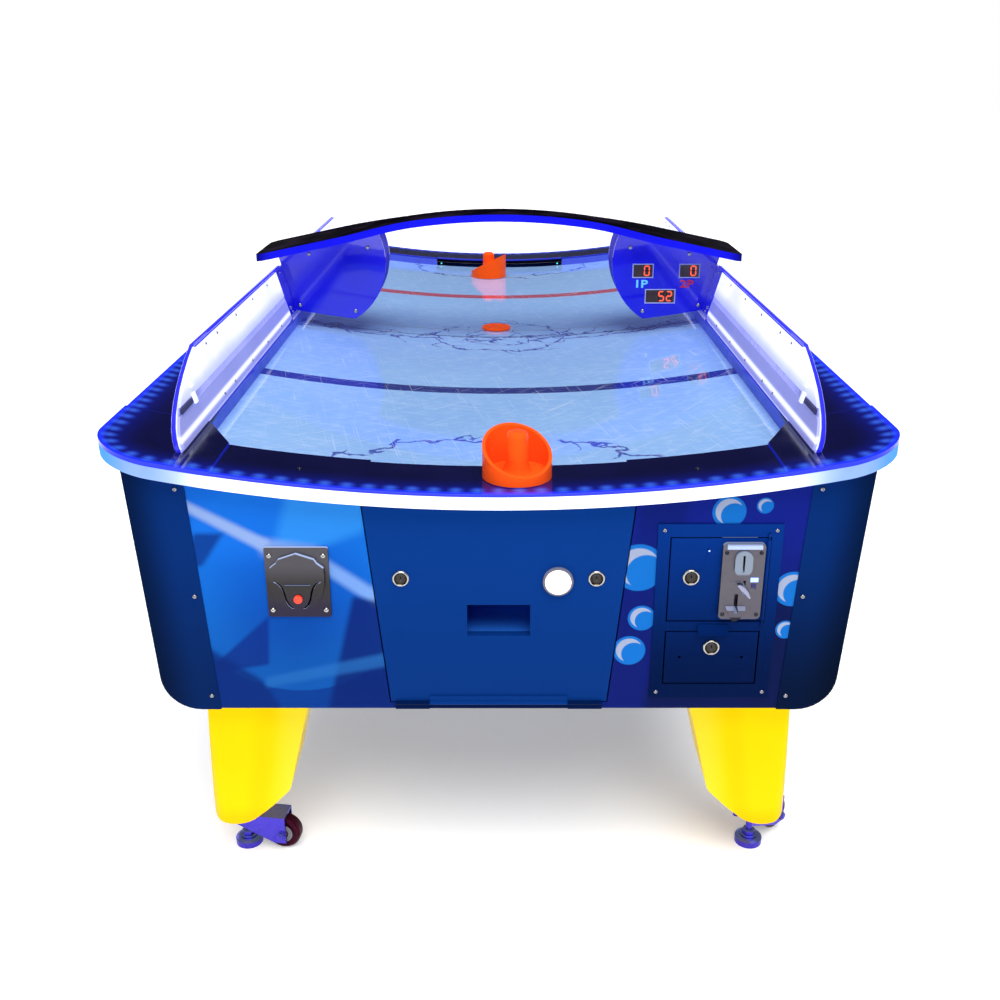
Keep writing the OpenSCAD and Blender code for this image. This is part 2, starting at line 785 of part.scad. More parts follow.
module token_reader() {
    y0 = -face_y - reader_t;
    front = y0 - bezel_t;
    color("dimgray") difference() {
        union() {
            along_y(y0, -face_y) rounded_plate(reader_x, reader_z, reader_w, reader_h, 3);
            along_y(front, y0 + eps) shield();
            block([reader_x - reader_body_w / 2, -face_y - eps, reader_z - reader_body_h / 2],
                  [reader_x + reader_body_w / 2, -face_y + 60, reader_z + reader_body_h / 2]);
        }
        block([reader_x - 20, front - 1, reader_z - 2], [reader_x + 20, -face_y + 10, reader_z + 0.6]);
        along_y(front - 1, front + groove_t) side_groove();
        along_y(front - 1, front + groove_t) translate([2 * reader_x, 0]) mirror([1, 0]) side_groove();
        y_rod(reader_x, reader_button_z, front - 1, -face_y + 6, reader_button_r + running);
    }
}
module reader_button() {
    front = -face_y - reader_t - bezel_t;
    color("orangered") y_rod(reader_x, reader_button_z, front - 3.5, front + 6, reader_button_r);
}

// Guards

guard_x = field_x + 3;
guard_z = rim_z + rise(guard_x) + 1;
// A guard's end is one curve through its foot, shoulder and top
function guard_end(s) =
    let (m = guard_mid_h, h = guard_h,
         a = guard_half_mid - guard_half_foot, b = guard_half_top - guard_half_foot,
         bow = (b / h - a / m) / (h - m))
    guard_half_foot + s * (a / m + bow * (s - m));
// Outline of a level part of a guard between two slant heights, with its ends pulled in
guard_n = 9;
module guard_outline(s0, s1, inset) {
    half = [for (i = [0 : guard_n]) let (s = s0 + i * (s1 - s0) / guard_n) [guard_end(s) - inset, s]];
    polygon(concat(half, [for (p = reversed(half)) [-p[0], p[1]]]));
}
// Puts a piece drawn in the guard's own plane at its place on the right-hand rail
module on_guard() {
    translate([guard_x, 0, guard_z]) rotate([0, guard_lean, 0]) rotate([90, 0, 90]) children();
}
module clear_of_deck() {
    difference() {
        children();
        trough_slab(cap_x, rim_x, -cap_y, cap_y, deck_low - 20, rim_z);
        for (sy = [0, 1]) mirror([0, sy, 0])
            trough_slab(cap_x, rim_x, cap_y, rim_y, deck_low - 20, rim_z + cap_rise);
    }
}
// Each guard is a near and a far half with the bridge's foot between them
guard_gap = 52;
module split_at_bridge(gap) {
    difference() {
        children();
        translate([-gap, -10]) square([2 * gap, guard_h + 20]);
    }
}
module guard_panes() {
    color("lavender") both_sides() clear_of_deck()
        on_guard() linear_extrude(pane_t) split_at_bridge(guard_gap) guard_outline(-3, guard_h, 0);
}
strip_split = 46;
strip_gap = 10;
strip_end = 122;
module guard_strips() {
    color("ghostwhite") both_sides() on_guard() translate([0, 0, -strip_t]) linear_extrude(strip_t)
        split_at_bridge(strip_end) {
            guard_outline(strip_split + strip_gap, guard_h - 4, 8);
            guard_outline(3, strip_split, 8);
        }
}
module guard_channels() {
    color("slategray") both_sides() on_guard() translate([0, 0, -strip_t + 1]) linear_extrude(strip_t - 1)
        split_at_bridge(strip_end) guard_outline(strip_split, strip_split + strip_gap, 12);
}

// Bridge

// The arch is round over its middle and runs straight on to its ends
arch_n = 20;
arch_bend = 290;
function arch_arc(x) = arch_r - sqrt(arch_r * arch_r - x * x);
function arch_drop(x) =
    abs(x) <= arch_bend
    ? arch_arc(x)
    : arch_arc(arch_bend)
      + (abs(x) - arch_bend) * arch_bend / sqrt(arch_r * arch_r - arch_bend * arch_bend);
function arch_xs() =
    concat([-arch_half], [for (i = [0 : arch_n]) -arch_bend + i * 2 * arch_bend / arch_n], [arch_half]);
module arch_slab(y0, y1, t) {
    low = [for (x = arch_xs()) [x, arch_z - arch_drop(x)]];
    top = [for (x = arch_xs()) [x, arch_z + t - arch_drop(x)]];
    along_y(y0, y1) polygon(concat(low, reversed(top)));
}
// Half width of the arch, which flares in a soft S from its middle to its ends
flare_from = 200;
flare_to = 370;
flare_n = 10;
function arch_side(x) =
    let (t = min(max((abs(x) - flare_from) / (flare_to - flare_from), 0), 1))
    (arch_w + (arch_end_w - arch_w) * t * t * (3 - 2 * t)) / 2;
module arch_plan() {
    r = 24;
    flare = [for (i = [0 : flare_n]) flare_from + i * (flare_to - flare_from) / flare_n];
    xs = concat([-arch_half + r], [for (x = reversed(flare)) -x], flare, [arch_half - r]);
    polygon(concat([for (x = xs) [x, -arch_side(x)]], [for (x = reversed(xs)) [x, arch_side(x)]]));
    for (sx = [-1, 1]) {
        translate([sx * (arch_half - r), 0]) square([2 * r, arch_end_w - 2 * r], center = true);
        for (sy = [-1, 1]) translate([sx * (arch_half - r), sy * (arch_end_w / 2 - r)]) circle(r);
    }
}
module arch() {
    color("midnightblue") intersection() {
        arch_slab(-arch_end_w / 2, arch_end_w / 2, arch_t);
        translate([0, 0, arch_z - 200]) linear_extrude(400) arch_plan();
    }
}

// A post's outline: round towards the field, cut by the arch, the guard and a gap over the field
post_x = 412;
post_z = 890;
post_half = 46;
face_t = 4;
module post_form(inset, y0, y1) {
    difference() {
        y_rod(post_x, post_z, y0, y1, post_r - inset, $fn = 128);
        below_post(inset, y0, y1);
        translate([0, 0, -inset]) arch_slab(y0 - 1, y1 + 1, 300);
        translate([guard_x, y0 - 1, guard_z]) rotate([0, guard_lean, 0])
            translate([-strip_t - inset, 0, -300]) cube([300, y1 - y0 + 2, 600]);
    }
}
module below_post(inset, y0, y1) {
    trough_slab(0, rim_x, y0 - 1, y1 + 1, field_z - 200, field_z + post_gap + inset);
}
module bridge_posts() {
    color("mediumblue") both_sides() difference() {
        post_form(0, -post_half, post_half);
        post_form(3, -post_half - 1, post_half + 1);
    }
}

// Windows of the score displays: left edge, lower edge, width, height on the right-hand post
windows = [[309, 856, 44, 28], [416, 856, 44, 28], [340, 797, 66, 29]];
module window_blocks(y0, y1) {
    for (w = windows) block([w[0], y0, w[1]], [w[0] + w[2], y1, w[1] + w[3]]);
}
module post_faces() {
    y1 = -post_half;
    y0 = y1 - face_t;
    color("blue") both_ends() {
        difference() {
            post_form(0, y0, y1);
            window_blocks(y0 - 1, y1 + 1);
        }
        mirror([1, 0, 0]) post_form(0, y0, y1);
    }
}
module score_displays() {
    color("maroon") both_ends() window_blocks(-post_half - face_t + 1, -post_half + 8);
}

// Brackets on the side rails, between the guard halves, that carry the posts
bracket_half = 46;
bracket_h = 100;
bracket_foot = 5;
plate_half = 120;
module bridge_brackets() {
    x0 = guard_x + pane_t;
    color("mediumblue") both_sides() difference() {
        union() {
            translate([guard_x, -bracket_half, guard_z]) rotate([0, guard_lean, 0])
                translate([-strip_t, 0, -12]) cube([strip_t + pane_t, 2 * bracket_half, bracket_h + 12]);
            translate([guard_x, -plate_half, guard_z]) rotate([0, guard_lean, 0])
                translate([-strip_t, 0, -12]) cube([strip_t, 2 * plate_half, guard_h + 10]);
            trough_slab(x0, x0 + 55, -bracket_half, bracket_half, rim_z, rim_z + bracket_foot);
        }
        trough_slab(cap_x, rim_x, -cap_y, cap_y, deck_low - 20, rim_z);
    }
}

// Legs and casters

leg_top_out = 480;
leg_top_in = 311;
leg_low_out = 491;
leg_low_in = 356;
leg_y0 = 900;
leg_y1 = 1040;
leg_low = 91;
leg_edge_r = 18;
stem_r = 6;
// Front outline of a leg: straight outer side, drawn-in inner side and a skewed round toe
toe_x = 455;
toe_h = 26;
toe_r = 64;
toe_slope = 40;
toe_n = 8;
function toe_outer() = [for (i = [0 : toe_n]) let (a = i * 90 / toe_n)
    [toe_x + (leg_low_out - toe_x) * cos(a), leg_low + toe_h - toe_h * sin(a)]];
function toe_inner() = [for (i = [1 : toe_n]) let (a = i * toe_slope / toe_n)
    [toe_x - toe_r * sin(a), leg_low + toe_r - toe_r * cos(a)]];
module leg() {
    intersection() {
        along_y(leg_y0, leg_y1)
            polygon(concat([[leg_top_in, cab_z], [leg_top_out, cab_z]], toe_outer(), toe_inner(),
                           [[leg_low_in + 4, leg_low + 61], [leg_low_in, leg_low + 68]]));
        translate([leg_top_in - 10, leg_y0, 0]) linear_extrude(cab_z) leg_plan();
    }
}
// The end face folds back towards the inner side
leg_fold = 0.46;
leg_fold_in = 28;
module leg_plan() {
    w = leg_low_out - leg_top_in + 10;
    l = leg_y1 - leg_y0;
    r = leg_edge_r;
    translate([w - r - eps, r]) square([r + eps, l - 2 * r]);
    polygon([[0, 0], [w - r, 0], [w - r, l], [leg_fold * w, l], [0, l - leg_fold_in]]);
    for (y = [r, l - r]) translate([w - r, y]) circle(r);
}
module legs() {
    color("gold") four_quarters() difference() {
        leg();
        translate([foot_x, foot_y, leg_low - 10]) cylinder(h = 70, r = stem_r);
    }
}

pad_h = 11;
module levelling_feet() {
    color("lightsteelblue") four_quarters() translate([foot_x, foot_y, 0]) union() {
        cylinder(h = pad_h, r = foot_r);
        translate([0, 0, pad_h - eps]) cylinder(h = 2.5, r1 = foot_r - 0.5, r2 = foot_r - 5);
        translate([0, 0, pad_h + 2]) cylinder(h = 4, r = 15);
        translate([0, 0, pad_h + 6 - eps]) cylinder(h = 9, r = 12, $fn = 6);
        cylinder(h = leg_low + 60, r = stem_r);
    }
}

// Swivel fork round a foot's stem, with its wheel trailing along +X before it is turned
fork_top = 70;
fork_plate = 4;
fork_back = -24;
axle_z = wheel_r + 0.6;
fork_in = wheel_w / 2 + 4.5;
axle_r = 4;
module fork() {
    out = fork_in + fork_plate;
    end = trail + 8;
    cheek = [[fork_back, fork_top], [end, fork_top], [end, axle_z - 15], [end - 22, axle_z - 15],
             [end - 46, axle_z - 3], [fork_back + 8, fork_top - 19], [fork_back, fork_top - 14]];
    difference() {
        union() {
            block([fork_back, -out, fork_top - fork_plate], [end, out, fork_top]);
            for (y = [-out, fork_in]) along_y(y, y + fork_plate) polygon(cheek);
            translate([0, 0, fork_top - 10]) cylinder(h = leg_low - 1 - fork_top + 10, r = 13);
            y_rod(trail, axle_z, -out - 7.5, out + 7.5, axle_r);
            for (y = [-out - 1.5, out]) y_rod(trail, axle_z, y, y + 1.5, 9);
            for (y = [-out - 6.5, out + 1.5]) y_rod(trail, axle_z, y, y + 5, 7.5, $fn = 6);
        }
        translate([0, 0, fork_top - 30]) cylinder(h = 60, r = stem_r + running);
    }
}
module wheel() {
    translate([trail, 0, axle_z]) rotate([90, 0, 0]) rotate_extrude($fn = 64)
        polygon([[axle_r + running, -wheel_w / 2 - 1], [10, -wheel_w / 2 - 1], [12, -wheel_w / 2 + 3],
                 [wheel_r - 9, -wheel_w / 2 + 3], [wheel_r - 7, -wheel_w / 2], [wheel_r - 3, -wheel_w / 2],
                 [wheel_r, -wheel_w / 2 + 4], [wheel_r, wheel_w / 2 - 4], [wheel_r - 3, wheel_w / 2],
                 [wheel_r - 7, wheel_w / 2], [wheel_r - 9, wheel_w / 2 - 3], [12, wheel_w / 2 - 3],
                 [10, wheel_w / 2 + 1], [axle_r + running, wheel_w / 2 + 1]]);
}

// How each caster has swung: right-left sign, front-rear sign and turn
swing_front_left = -8;
swing_front_right = 43;
swing_rear_left = 20;
swing_rear_right = -8;
module at_foot(sx, sy, swing) {
    translate([sx * foot_x, sy * foot_y, 0]) rotate([0, 0, swing]) children();
}
module fork_front_left() { color("silver") at_foot(-1, -1, swing_front_left) fork(); }
module fork_front_right() { color("silver") at_foot(1, -1, swing_front_right) fork(); }
module fork_rear_left() { color("silver") at_foot(-1, 1, swing_rear_left) fork(); }
module fork_rear_right() { color("silver") at_foot(1, 1, swing_rear_right) fork(); }
module wheel_front_left() { color("maroon") at_foot(-1, -1, swing_front_left) wheel(); }
module wheel_front_right() { color("maroon") at_foot(1, -1, swing_front_right) wheel(); }
module wheel_rear_left() { color("maroon") at_foot(-1, 1, swing_rear_left) wheel(); }
module wheel_rear_right() { color("maroon") at_foot(1, 1, swing_rear_right) wheel(); }

// Blower under the air chamber

blower_r = 140;
blower_wall = 4;
blower_h = 130;
blower_top = shelf_top - shelf_t;
blower_low = blower_top - blower_h;
motor_r = 45;
motor_h = 50;
shaft_r = 6;
spokes = 3;
module blower_housing() {
    color("dimgray") union() {
        difference() {
            translate([0, 0, blower_low]) cylinder(h = blower_h, r = blower_r, $fn = 96);
            translate([0, 0, blower_low + blower_wall])
                cylinder(h = blower_h, r = blower_r - blower_wall, $fn = 96);
            translate([0, 0, blower_low - 1]) cylinder(h = blower_h, r = 100);
        }
        difference() {
            translate([0, 0, blower_top - blower_wall])
                cylinder(h = blower_wall, r = blower_r + 20, $fn = 96);
            translate([0, 0, blower_top - blower_wall - 1]) cylinder(h = blower_wall + 2, r = blower_mouth_r);
        }
        for (i = [0 : spokes - 1]) rotate([0, 0, i * 360 / spokes])
            block([motor_r - 2, -8, blower_low], [102, 8, blower_low + blower_wall]);
        translate([0, 0, blower_low]) cylinder(h = blower_wall, r = motor_r + 3);
    }
}
module blower_motor() {
    color("silver") union() {
        translate([0, 0, blower_low + blower_wall]) cylinder(h = motor_h, r = motor_r);
        translate([0, 0, blower_low + blower_wall]) cylinder(h = motor_h + 40, r = shaft_r);
    }
}
blades = 12;
module blower_impeller() {
    z0 = blower_low + blower_wall + motor_h + 6;
    color("slategray") difference() {
        union() {
            translate([0, 0, z0]) cylinder(h = 3, r = 110, $fn = 96);
            translate([0, 0, z0]) cylinder(h = 26, r = 16);
            for (i = [0 : blades - 1]) rotate([0, 0, i * 360 / blades])
                translate([74, 0, z0]) rotate([0, 0, 35]) block([-2, -34, 0], [2, 24, 40]);
        }
        translate([0, 0, z0 - 1]) cylinder(h = 60, r = shaft_r + running);
    }
}

module control_box() {
    z = cab_z + wall_t;
    color("gainsboro") block([-300, -560, z], [-80, -400, z + 90]);
}

// Loose pieces

puck_x = -7;
puck_y = 88;
module puck() {
    r = 1.5;
    color("orangered") translate([puck_x, puck_y, field_z + rise(puck_r + 7) + 0.3]) rotate_extrude($fn = 96)
        polygon([[0, 0], [puck_r - r, 0], [puck_r, r], [puck_r, puck_t - r], [puck_r - r, puck_t],
                 [puck_r - 8, puck_t], [puck_r - 9, puck_t - 1], [0, puck_t - 1]]);
}

// Striker: a round foot, a skirt that is cut on the slant and a grip with a domed top
skirt_t = 5;
skirt_high = 69;
skirt_low = 13;
grip_r = 17;
module striker() {
    color("orangered") union() {
        difference() {
            cylinder(h = skirt_high + 2, r = striker_r, $fn = 96);
            translate([0, 0, 8]) cylinder(h = skirt_high, r = striker_r - skirt_t, $fn = 96);
            rotate([90, 0, 0]) translate([0, 0, -striker_r - 1]) linear_extrude(2 * striker_r + 2)
                polygon([[-striker_r - 1, skirt_high], [striker_r + 1, skirt_low],
                         [striker_r + 1, skirt_high + 9], [-striker_r - 1, skirt_high + 9]]);
        }
        rotate_extrude()
            polygon([[0, 7], [grip_r + 6, 7], [grip_r + 2, 14], [grip_r, 24], [grip_r, striker_h - 8],
                     [grip_r - 2, striker_h - 3], [grip_r - 7, striker_h], [0, striker_h]]);
    }
}
near_x = 28;
near_y = -1033;
far_x = -33;
far_y = 815;
// Turn of each striker: the low side of the near skirt faces its player, and the far one lies half turned
striker_turn = -72;
far_turn = 160;
module striker_near() {
    translate([near_x, near_y, rim_z + rise(near_x + striker_r) + 0.2]) rotate([0, 0, striker_turn])
        striker();
}
module striker_far() {
    translate([far_x, far_y, field_z + rise(striker_r - far_x) + 0.2]) rotate([0, 0, far_turn])
        striker();
}

rim_frame();
edge_band();
end_decks();
side_decks();
corner_caps();
playfield();
air_plenum();
plenum_shelf();
side_walls();
base_board();
front_panel();
rear_panel();
corner_guards();
front_door();
front_hinge();
front_locks();
front_plug_left();
front_plug_right();
start_bezel();
start_plunger();
rear_service_panel();
puck_trays();
puck_chutes();
coin_frame();
coin_door();
coin_acceptor();
reject_lever();
coin_lock();
coin_plug();
cash_drawer();
cash_lock();
cash_plug();
token_reader();
reader_button();
arch();
bridge_posts();
post_faces();
score_displays();
bridge_brackets();
guard_panes();
guard_strips();
guard_channels();
legs();
levelling_feet();
fork_front_left();
fork_front_right();
fork_rear_left();
fork_rear_right();
wheel_front_left();
wheel_front_right();
wheel_rear_left();
wheel_rear_right();
blower_housing();
blower_motor();
blower_impeller();
control_box();
puck();
striker_near();
striker_far();
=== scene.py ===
import json
import math

import bmesh
import bpy
from mathutils import Matrix, Vector


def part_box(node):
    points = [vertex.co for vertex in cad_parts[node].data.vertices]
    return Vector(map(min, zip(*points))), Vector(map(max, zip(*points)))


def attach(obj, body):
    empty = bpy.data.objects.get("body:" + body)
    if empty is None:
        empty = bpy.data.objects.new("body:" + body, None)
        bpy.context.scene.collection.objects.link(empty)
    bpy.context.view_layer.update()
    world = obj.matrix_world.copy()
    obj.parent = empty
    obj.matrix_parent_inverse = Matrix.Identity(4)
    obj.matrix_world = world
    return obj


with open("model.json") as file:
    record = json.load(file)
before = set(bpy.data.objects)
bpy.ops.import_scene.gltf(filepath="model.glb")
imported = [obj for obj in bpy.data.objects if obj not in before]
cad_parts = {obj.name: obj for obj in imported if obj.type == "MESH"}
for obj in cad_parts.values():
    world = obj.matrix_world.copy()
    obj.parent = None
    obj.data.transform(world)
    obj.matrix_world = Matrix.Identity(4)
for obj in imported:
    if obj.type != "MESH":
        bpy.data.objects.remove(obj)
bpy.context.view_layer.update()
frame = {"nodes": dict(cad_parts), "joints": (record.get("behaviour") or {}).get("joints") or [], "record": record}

nodes = frame["nodes"]
scene = bpy.context.scene
MM = 0.001


# Camera and light

def put_in_scene(name, data):
    thing = bpy.data.objects.new(name, data)
    scene.collection.objects.link(thing)
    return thing


camera = put_in_scene("camera", bpy.data.cameras.new("camera"))
camera.location = (0.0021, -2.624, 1.3136)
camera.rotation_euler = (math.radians(68.58), 0, 0)
camera.data.sensor_width = 36
camera.data.lens = 40.04
scene.camera = camera
scene.view_settings.view_transform = "Standard"


def lamp(name, kind, energy, place, aim, **settings):
    data = bpy.data.lights.new(name, kind)
    data.energy = energy
    for key, value in settings.items():
        setattr(data, key, value)
    light = put_in_scene(name, data)
    light.location = place
    light.rotation_euler = (Vector(aim) - Vector(place)).to_track_quat("-Z", "Y").to_euler()
    return light


lamp("ceiling_light", "SUN", 3.6, (0.5, -2.2, 4.6), (0, 0, 0), angle=math.radians(50))
lamp("front_softbox", "AREA", 34, (-1.2, -5.2, 1.2), (0, -1, 0.5), size=3.0)
lamp("side_softbox", "AREA", 10, (3.8, -1.4, 1.0), (0, 0, 0.5), size=2.2)
lamp("low_softbox", "AREA", 30, (-3.8, 1.4, 1.0), (0, 0, 0.5), size=2.2)
lamp("rear_fill", "SUN", 0.7, (-0.8, 3.0, 1.9), (0, 0, 0.4), angle=math.radians(80)).visible_glossy = False


def studio_air():
    """A white backdrop; what glossy faces mirror is white at the horizon and dim above it."""
    world = bpy.data.worlds.new("studio")
    scene.world = world
    world.use_nodes = True
    tree = world.node_tree
    sky = tree.nodes["Background"]
    spot = tree.nodes.new("ShaderNodeTexCoord")
    parts = tree.nodes.new("ShaderNodeSeparateXYZ")
    shade = tree.nodes.new("ShaderNodeValToRGB")
    tree.links.new(spot.outputs["Generated"], parts.inputs[0])
    tree.links.new(parts.outputs["Z"], shade.inputs["Fac"])
    seen = tree.nodes.new("ShaderNodeMix")
    seen.data_type = "RGBA"
    seen.inputs[7].default_value = (1, 1, 1, 1)
    tree.links.new(tree.nodes.new("ShaderNodeLightPath").outputs["Is Camera Ray"], seen.inputs[0])
    tree.links.new(shade.outputs["Color"], seen.inputs[6])
    tree.links.new(seen.outputs[2], sky.inputs["Color"])
    ramp = shade.color_ramp.elements
    ramp[0].position, ramp[0].color = 0.05, (1, 1, 1, 1)
    ramp[1].position, ramp[1].color = 1.0, (0.30, 0.31, 0.34, 1)
    for height, grey in ((0.075, 0.08), (0.27, 0.06), (0.36, 0.03), (0.65, 0.03)):
        ramp.new(height).color = (grey, grey * 1.04, grey * 1.15, 1)
    sky.inputs["Strength"].default_value = 1.0


studio_air()


# Finishes

def paint(code, gain=1.0):
    """A colour code as the light it reflects."""
    shares = [int(code[i:i + 2], 16) / 255 for i in (1, 3, 5)]
    linear = [s / 12.92 if s < 0.04045 else ((s + 0.055) / 1.055) ** 2.4 for s in shares]
    return (*[s * gain for s in linear], 1.0)


def vivid(code):
    """A colour code's hue at full strength."""
    shares = paint(code)[:3]
    return (*[s / max(shares) for s in shares], 1.0)


class Finish:
    """One material of the table: its shader, and short calls for the nodes that feed it."""

    def __init__(self, name, **even):
        self.material = bpy.data.materials.new(name)
        self.material.use_nodes = True
        self.nodes = self.material.node_tree.nodes
        self.links = self.material.node_tree.links
        self.shader = self.nodes["Principled BSDF"]
        self.set("Specular_IOR_Level", 0.2)
        for socket, value in even.items():
            self.set(socket, value)
        self.spot = self.add("TexCoord").outputs["Object"]
        parts = self.add("SeparateXYZ", Vector=self.spot).outputs
        self.x, self.y, self.z = parts

    def feed(self, socket, source):
        if isinstance(source, bpy.types.NodeSocket):
            self.links.new(source, socket)
        elif source is not None:
            socket.default_value = source

    def add(self, kind, **inputs):
        node = self.nodes.new("ShaderNode" + kind)
        for socket, source in inputs.items():
            self.feed(node.inputs[socket], source)
        return node

    def set(self, socket, source):
        """Feed an input of the shader, named with underscores for spaces."""
        self.feed(self.shader.inputs[socket.replace("_", " ")], source)

    def math(self, operation, *sources):
        node = self.nodes.new("ShaderNodeMath")
        node.operation = operation
        for socket, source in zip(node.inputs, sources):
            self.feed(socket, source)
        return node.outputs[0]

    def plus(self, *sources):
        total = sources[0]
        for source in sources[1:]:
            total = self.math("ADD", total, source)
        return total

    def times(self, first, second):
        return self.math("MULTIPLY", first, second)

    def size(self, value):
        return self.math("ABSOLUTE", value)

    def far(self, first, second):
        """Length of a flat vector."""
        return self.math("SQRT", self.plus(self.times(first, first), self.times(second, second)))

    def ease(self, value, low, high, first=0.0, last=1.0):
        """A soft step from first at low to last at high."""
        node = self.nodes.new("ShaderNodeMapRange")
        node.interpolation_type = "SMOOTHSTEP"
        for socket, source in zip(node.inputs, (value, low, high, first, last)):
            self.feed(socket, source)
        return node.outputs[0]

    def stripe(self, value, centre, half, soft):
        """One within half of a centre line, none outside."""
        away = self.size(self.math("SUBTRACT", value, centre))
        return self.ease(away, half + soft, half)

    def noise(self, scale, detail=3.0, stretch=None, turn=0.0, shift=0.0):
        """Cloudy noise from 0 to 1, turned and then stretched or shifted."""
        spot = self.spot
        if turn:
            spot = self.add("Mapping", Vector=spot, Rotation=(0, 0, turn)).outputs[0]
        if stretch or shift:
            placed = self.add("Mapping", Vector=spot, Scale=stretch or (1, 1, 1), Location=(shift, shift, shift))
            spot = placed.outputs[0]
        return self.add("TexNoise", Vector=spot, Scale=scale, Detail=detail).outputs["Fac"]

    def mix(self, share, first, second):
        node = self.nodes.new("ShaderNodeMix")
        node.data_type = "RGBA"
        for socket, source in zip((node.inputs[0], node.inputs[6], node.inputs[7]), (share, first, second)):
            self.feed(socket, source)
        return node.outputs[2]

    def layers(self, ground, *covers):
        """A ground colour with each (share, colour) laid over it in turn."""
        for share, colour in covers:
            ground = self.mix(share, ground, colour)
        return ground

    def rough(self, middle, spread=0.05, scale=30.0):
        """A roughness that wavers about a middle value."""
        self.set("Roughness", self.ease(self.noise(scale, 4.0), 0.3, 0.7, middle - spread, middle + spread))

    def most(self, *sources):
        """The largest of several values."""
        top = sources[0]
        for source in sources[1:]:
            top = self.math("MAXIMUM", top, source)
        return top

    def inside(self, across, up, corners, soft):
        """One inside a convex outline given anticlockwise, with soft edges."""
        share = None
        for (ax, az), (bx, bz) in zip(corners, corners[1:] + corners[:1]):
            long = math.hypot(bx - ax, bz - az)
            nx, nz = (az - bz) / long, (bx - ax) / long
            past = self.plus(self.times(across, nx), self.times(up, nz))
            edge = self.ease(past, ax * nx + az * nz - soft, ax * nx + az * nz + soft)
            share = edge if share is None else self.times(share, edge)
        return share

    def vine(self, across, along, shift, pitch):
        """A wandering stem with thorns on alternate sides."""
        for scale, wander in ((9, 0.09), (34, 0.045)):
            across = self.plus(across, self.times(self.plus(self.noise(scale, 2.0, shift=shift), -0.5), wander))
        along = self.plus(along, self.times(self.noise(22, 1.0, shift=shift + 5), pitch * 1.2))
        kept = self.ease(self.noise(9, 1.0, shift=shift + 11), 0.34, 0.40)
        stem = self.stripe(across, 0.0, pitch * 0.05, pitch * 0.03)
        step = self.times(along, 1 / pitch)
        number, part = self.math("FLOOR", step), self.math("FRACT", step)
        chance = self.add("TexWhiteNoise")
        chance.noise_dimensions = "1D"
        self.feed(chance.inputs["W"], self.plus(number, shift))
        reach = self.ease(chance.outputs["Value"], 0.0, 1.0, 0.3, 0.98)
        side = self.ease(self.math("FLOORED_MODULO", number, 2.0), 0.4, 0.6, -1.0, 1.0)
        lean = self.math("SUBTRACT", self.times(across, side), self.times(part, pitch))
        thin = self.ease(part, 0.0, reach, pitch * 0.09, pitch * 0.015)
        thorn = self.times(self.ease(self.math("SUBTRACT", self.size(lean), thin), pitch * 0.03, 0.0),
                           self.ease(self.math("SUBTRACT", part, reach), 0.05, 0.0))
        return self.times(self.most(stem, thorn), kept)

    def bumpy(self, height, depth, strength):
        """A bump from a height map, with its depth in metres."""
        bump = self.add("Bump", Height=height, Strength=strength, Distance=depth)
        self.set("Normal", bump.outputs[0])

    def facing(self, axis):
        """How far a face looks along an axis, from -1 to 1."""
        parts = self.add("SeparateXYZ", Vector=self.add("NewGeometry").outputs["Normal"])
        return parts.outputs[axis]


def sprayed(name, colour, foot_shade, drift=0.1):
    """Sprayed or laminated sheet: a slow drift of colour, fine grain and faint rub marks, with painted shade that
    darkens it towards the bottom.
    """
    f = Finish(name, Specular_Tint=vivid(colour), Specular_IOR_Level=0.12)
    slow = f.noise(2.4, 2.0)
    rub = f.ease(f.noise(60, 5.0, (1, 1, 0.12)), 0.66, 0.76)
    tone = f.mix(slow, paint(colour, 1 - drift), paint(colour, 1 + drift))
    tone = f.mix(f.times(rub, 0.1), tone, paint(colour, 1.6))
    # painted shade: the colour grows darker towards the bottom
    f.set("Base_Color", f.mix(f.ease(f.z, 0.70, 0.40), tone, paint(colour, foot_shade)))
    f.rough(0.42, 0.02)
    f.bumpy(f.noise(1400, 2.0), 0.00006, 0.3)
    return f


def metal(name, colour, rough, scale=500.0, depth=0.00003, dirt=0.35, lit=0.0):
    """Bare or plated metal with grain and a little grime; with lit set it gets painted light: a painted glow on faces
    that look up and painted shade on faces that look down.
    """
    f = Finish(name, Metallic=1.0)
    grime = f.ease(f.noise(55, 5.0), 0.52, 0.8)
    f.tone = f.mix(f.times(grime, dirt), paint(colour), paint(colour, 0.35))
    if lit:
        # painted light: a glow on faces that look up and a darker tone on faces that look down
        up = f.facing("Z")
        f.above = f.times(f.ease(up, 0.12, 0.6), lit)
        f.tone = f.mix(f.ease(up, -0.1, -0.6), f.tone, paint(colour, 0.1))
        f.set("Emission_Color", (0.50, 0.62, 1.0, 1))
        f.set("Emission_Strength", f.above)
    f.set("Base_Color", f.tone)
    fine = f.noise(scale, 3.0)
    f.set("Roughness", f.ease(fine, 0.25, 0.75, rough - 0.06, rough + 0.08))
    f.bumpy(fine, depth, 0.35)
    return f


def moulded(name, colour, rough):
    """Moulded plastic with a fine texture and slight scuffs."""
    f = Finish(name, Specular_Tint=vivid(colour))
    scuff = f.ease(f.noise(90, 6.0), 0.6, 0.78)
    tone = f.mix(f.noise(5, 2.0), paint(colour, 0.9), paint(colour, 1.1))
    f.set("Base_Color", f.mix(f.times(scuff, 0.15), tone, paint(colour, 1.5)))
    f.rough(rough, 0.05, 60)
    f.bumpy(f.noise(900.0, 2.0), 0.00005, 0.3)
    return f


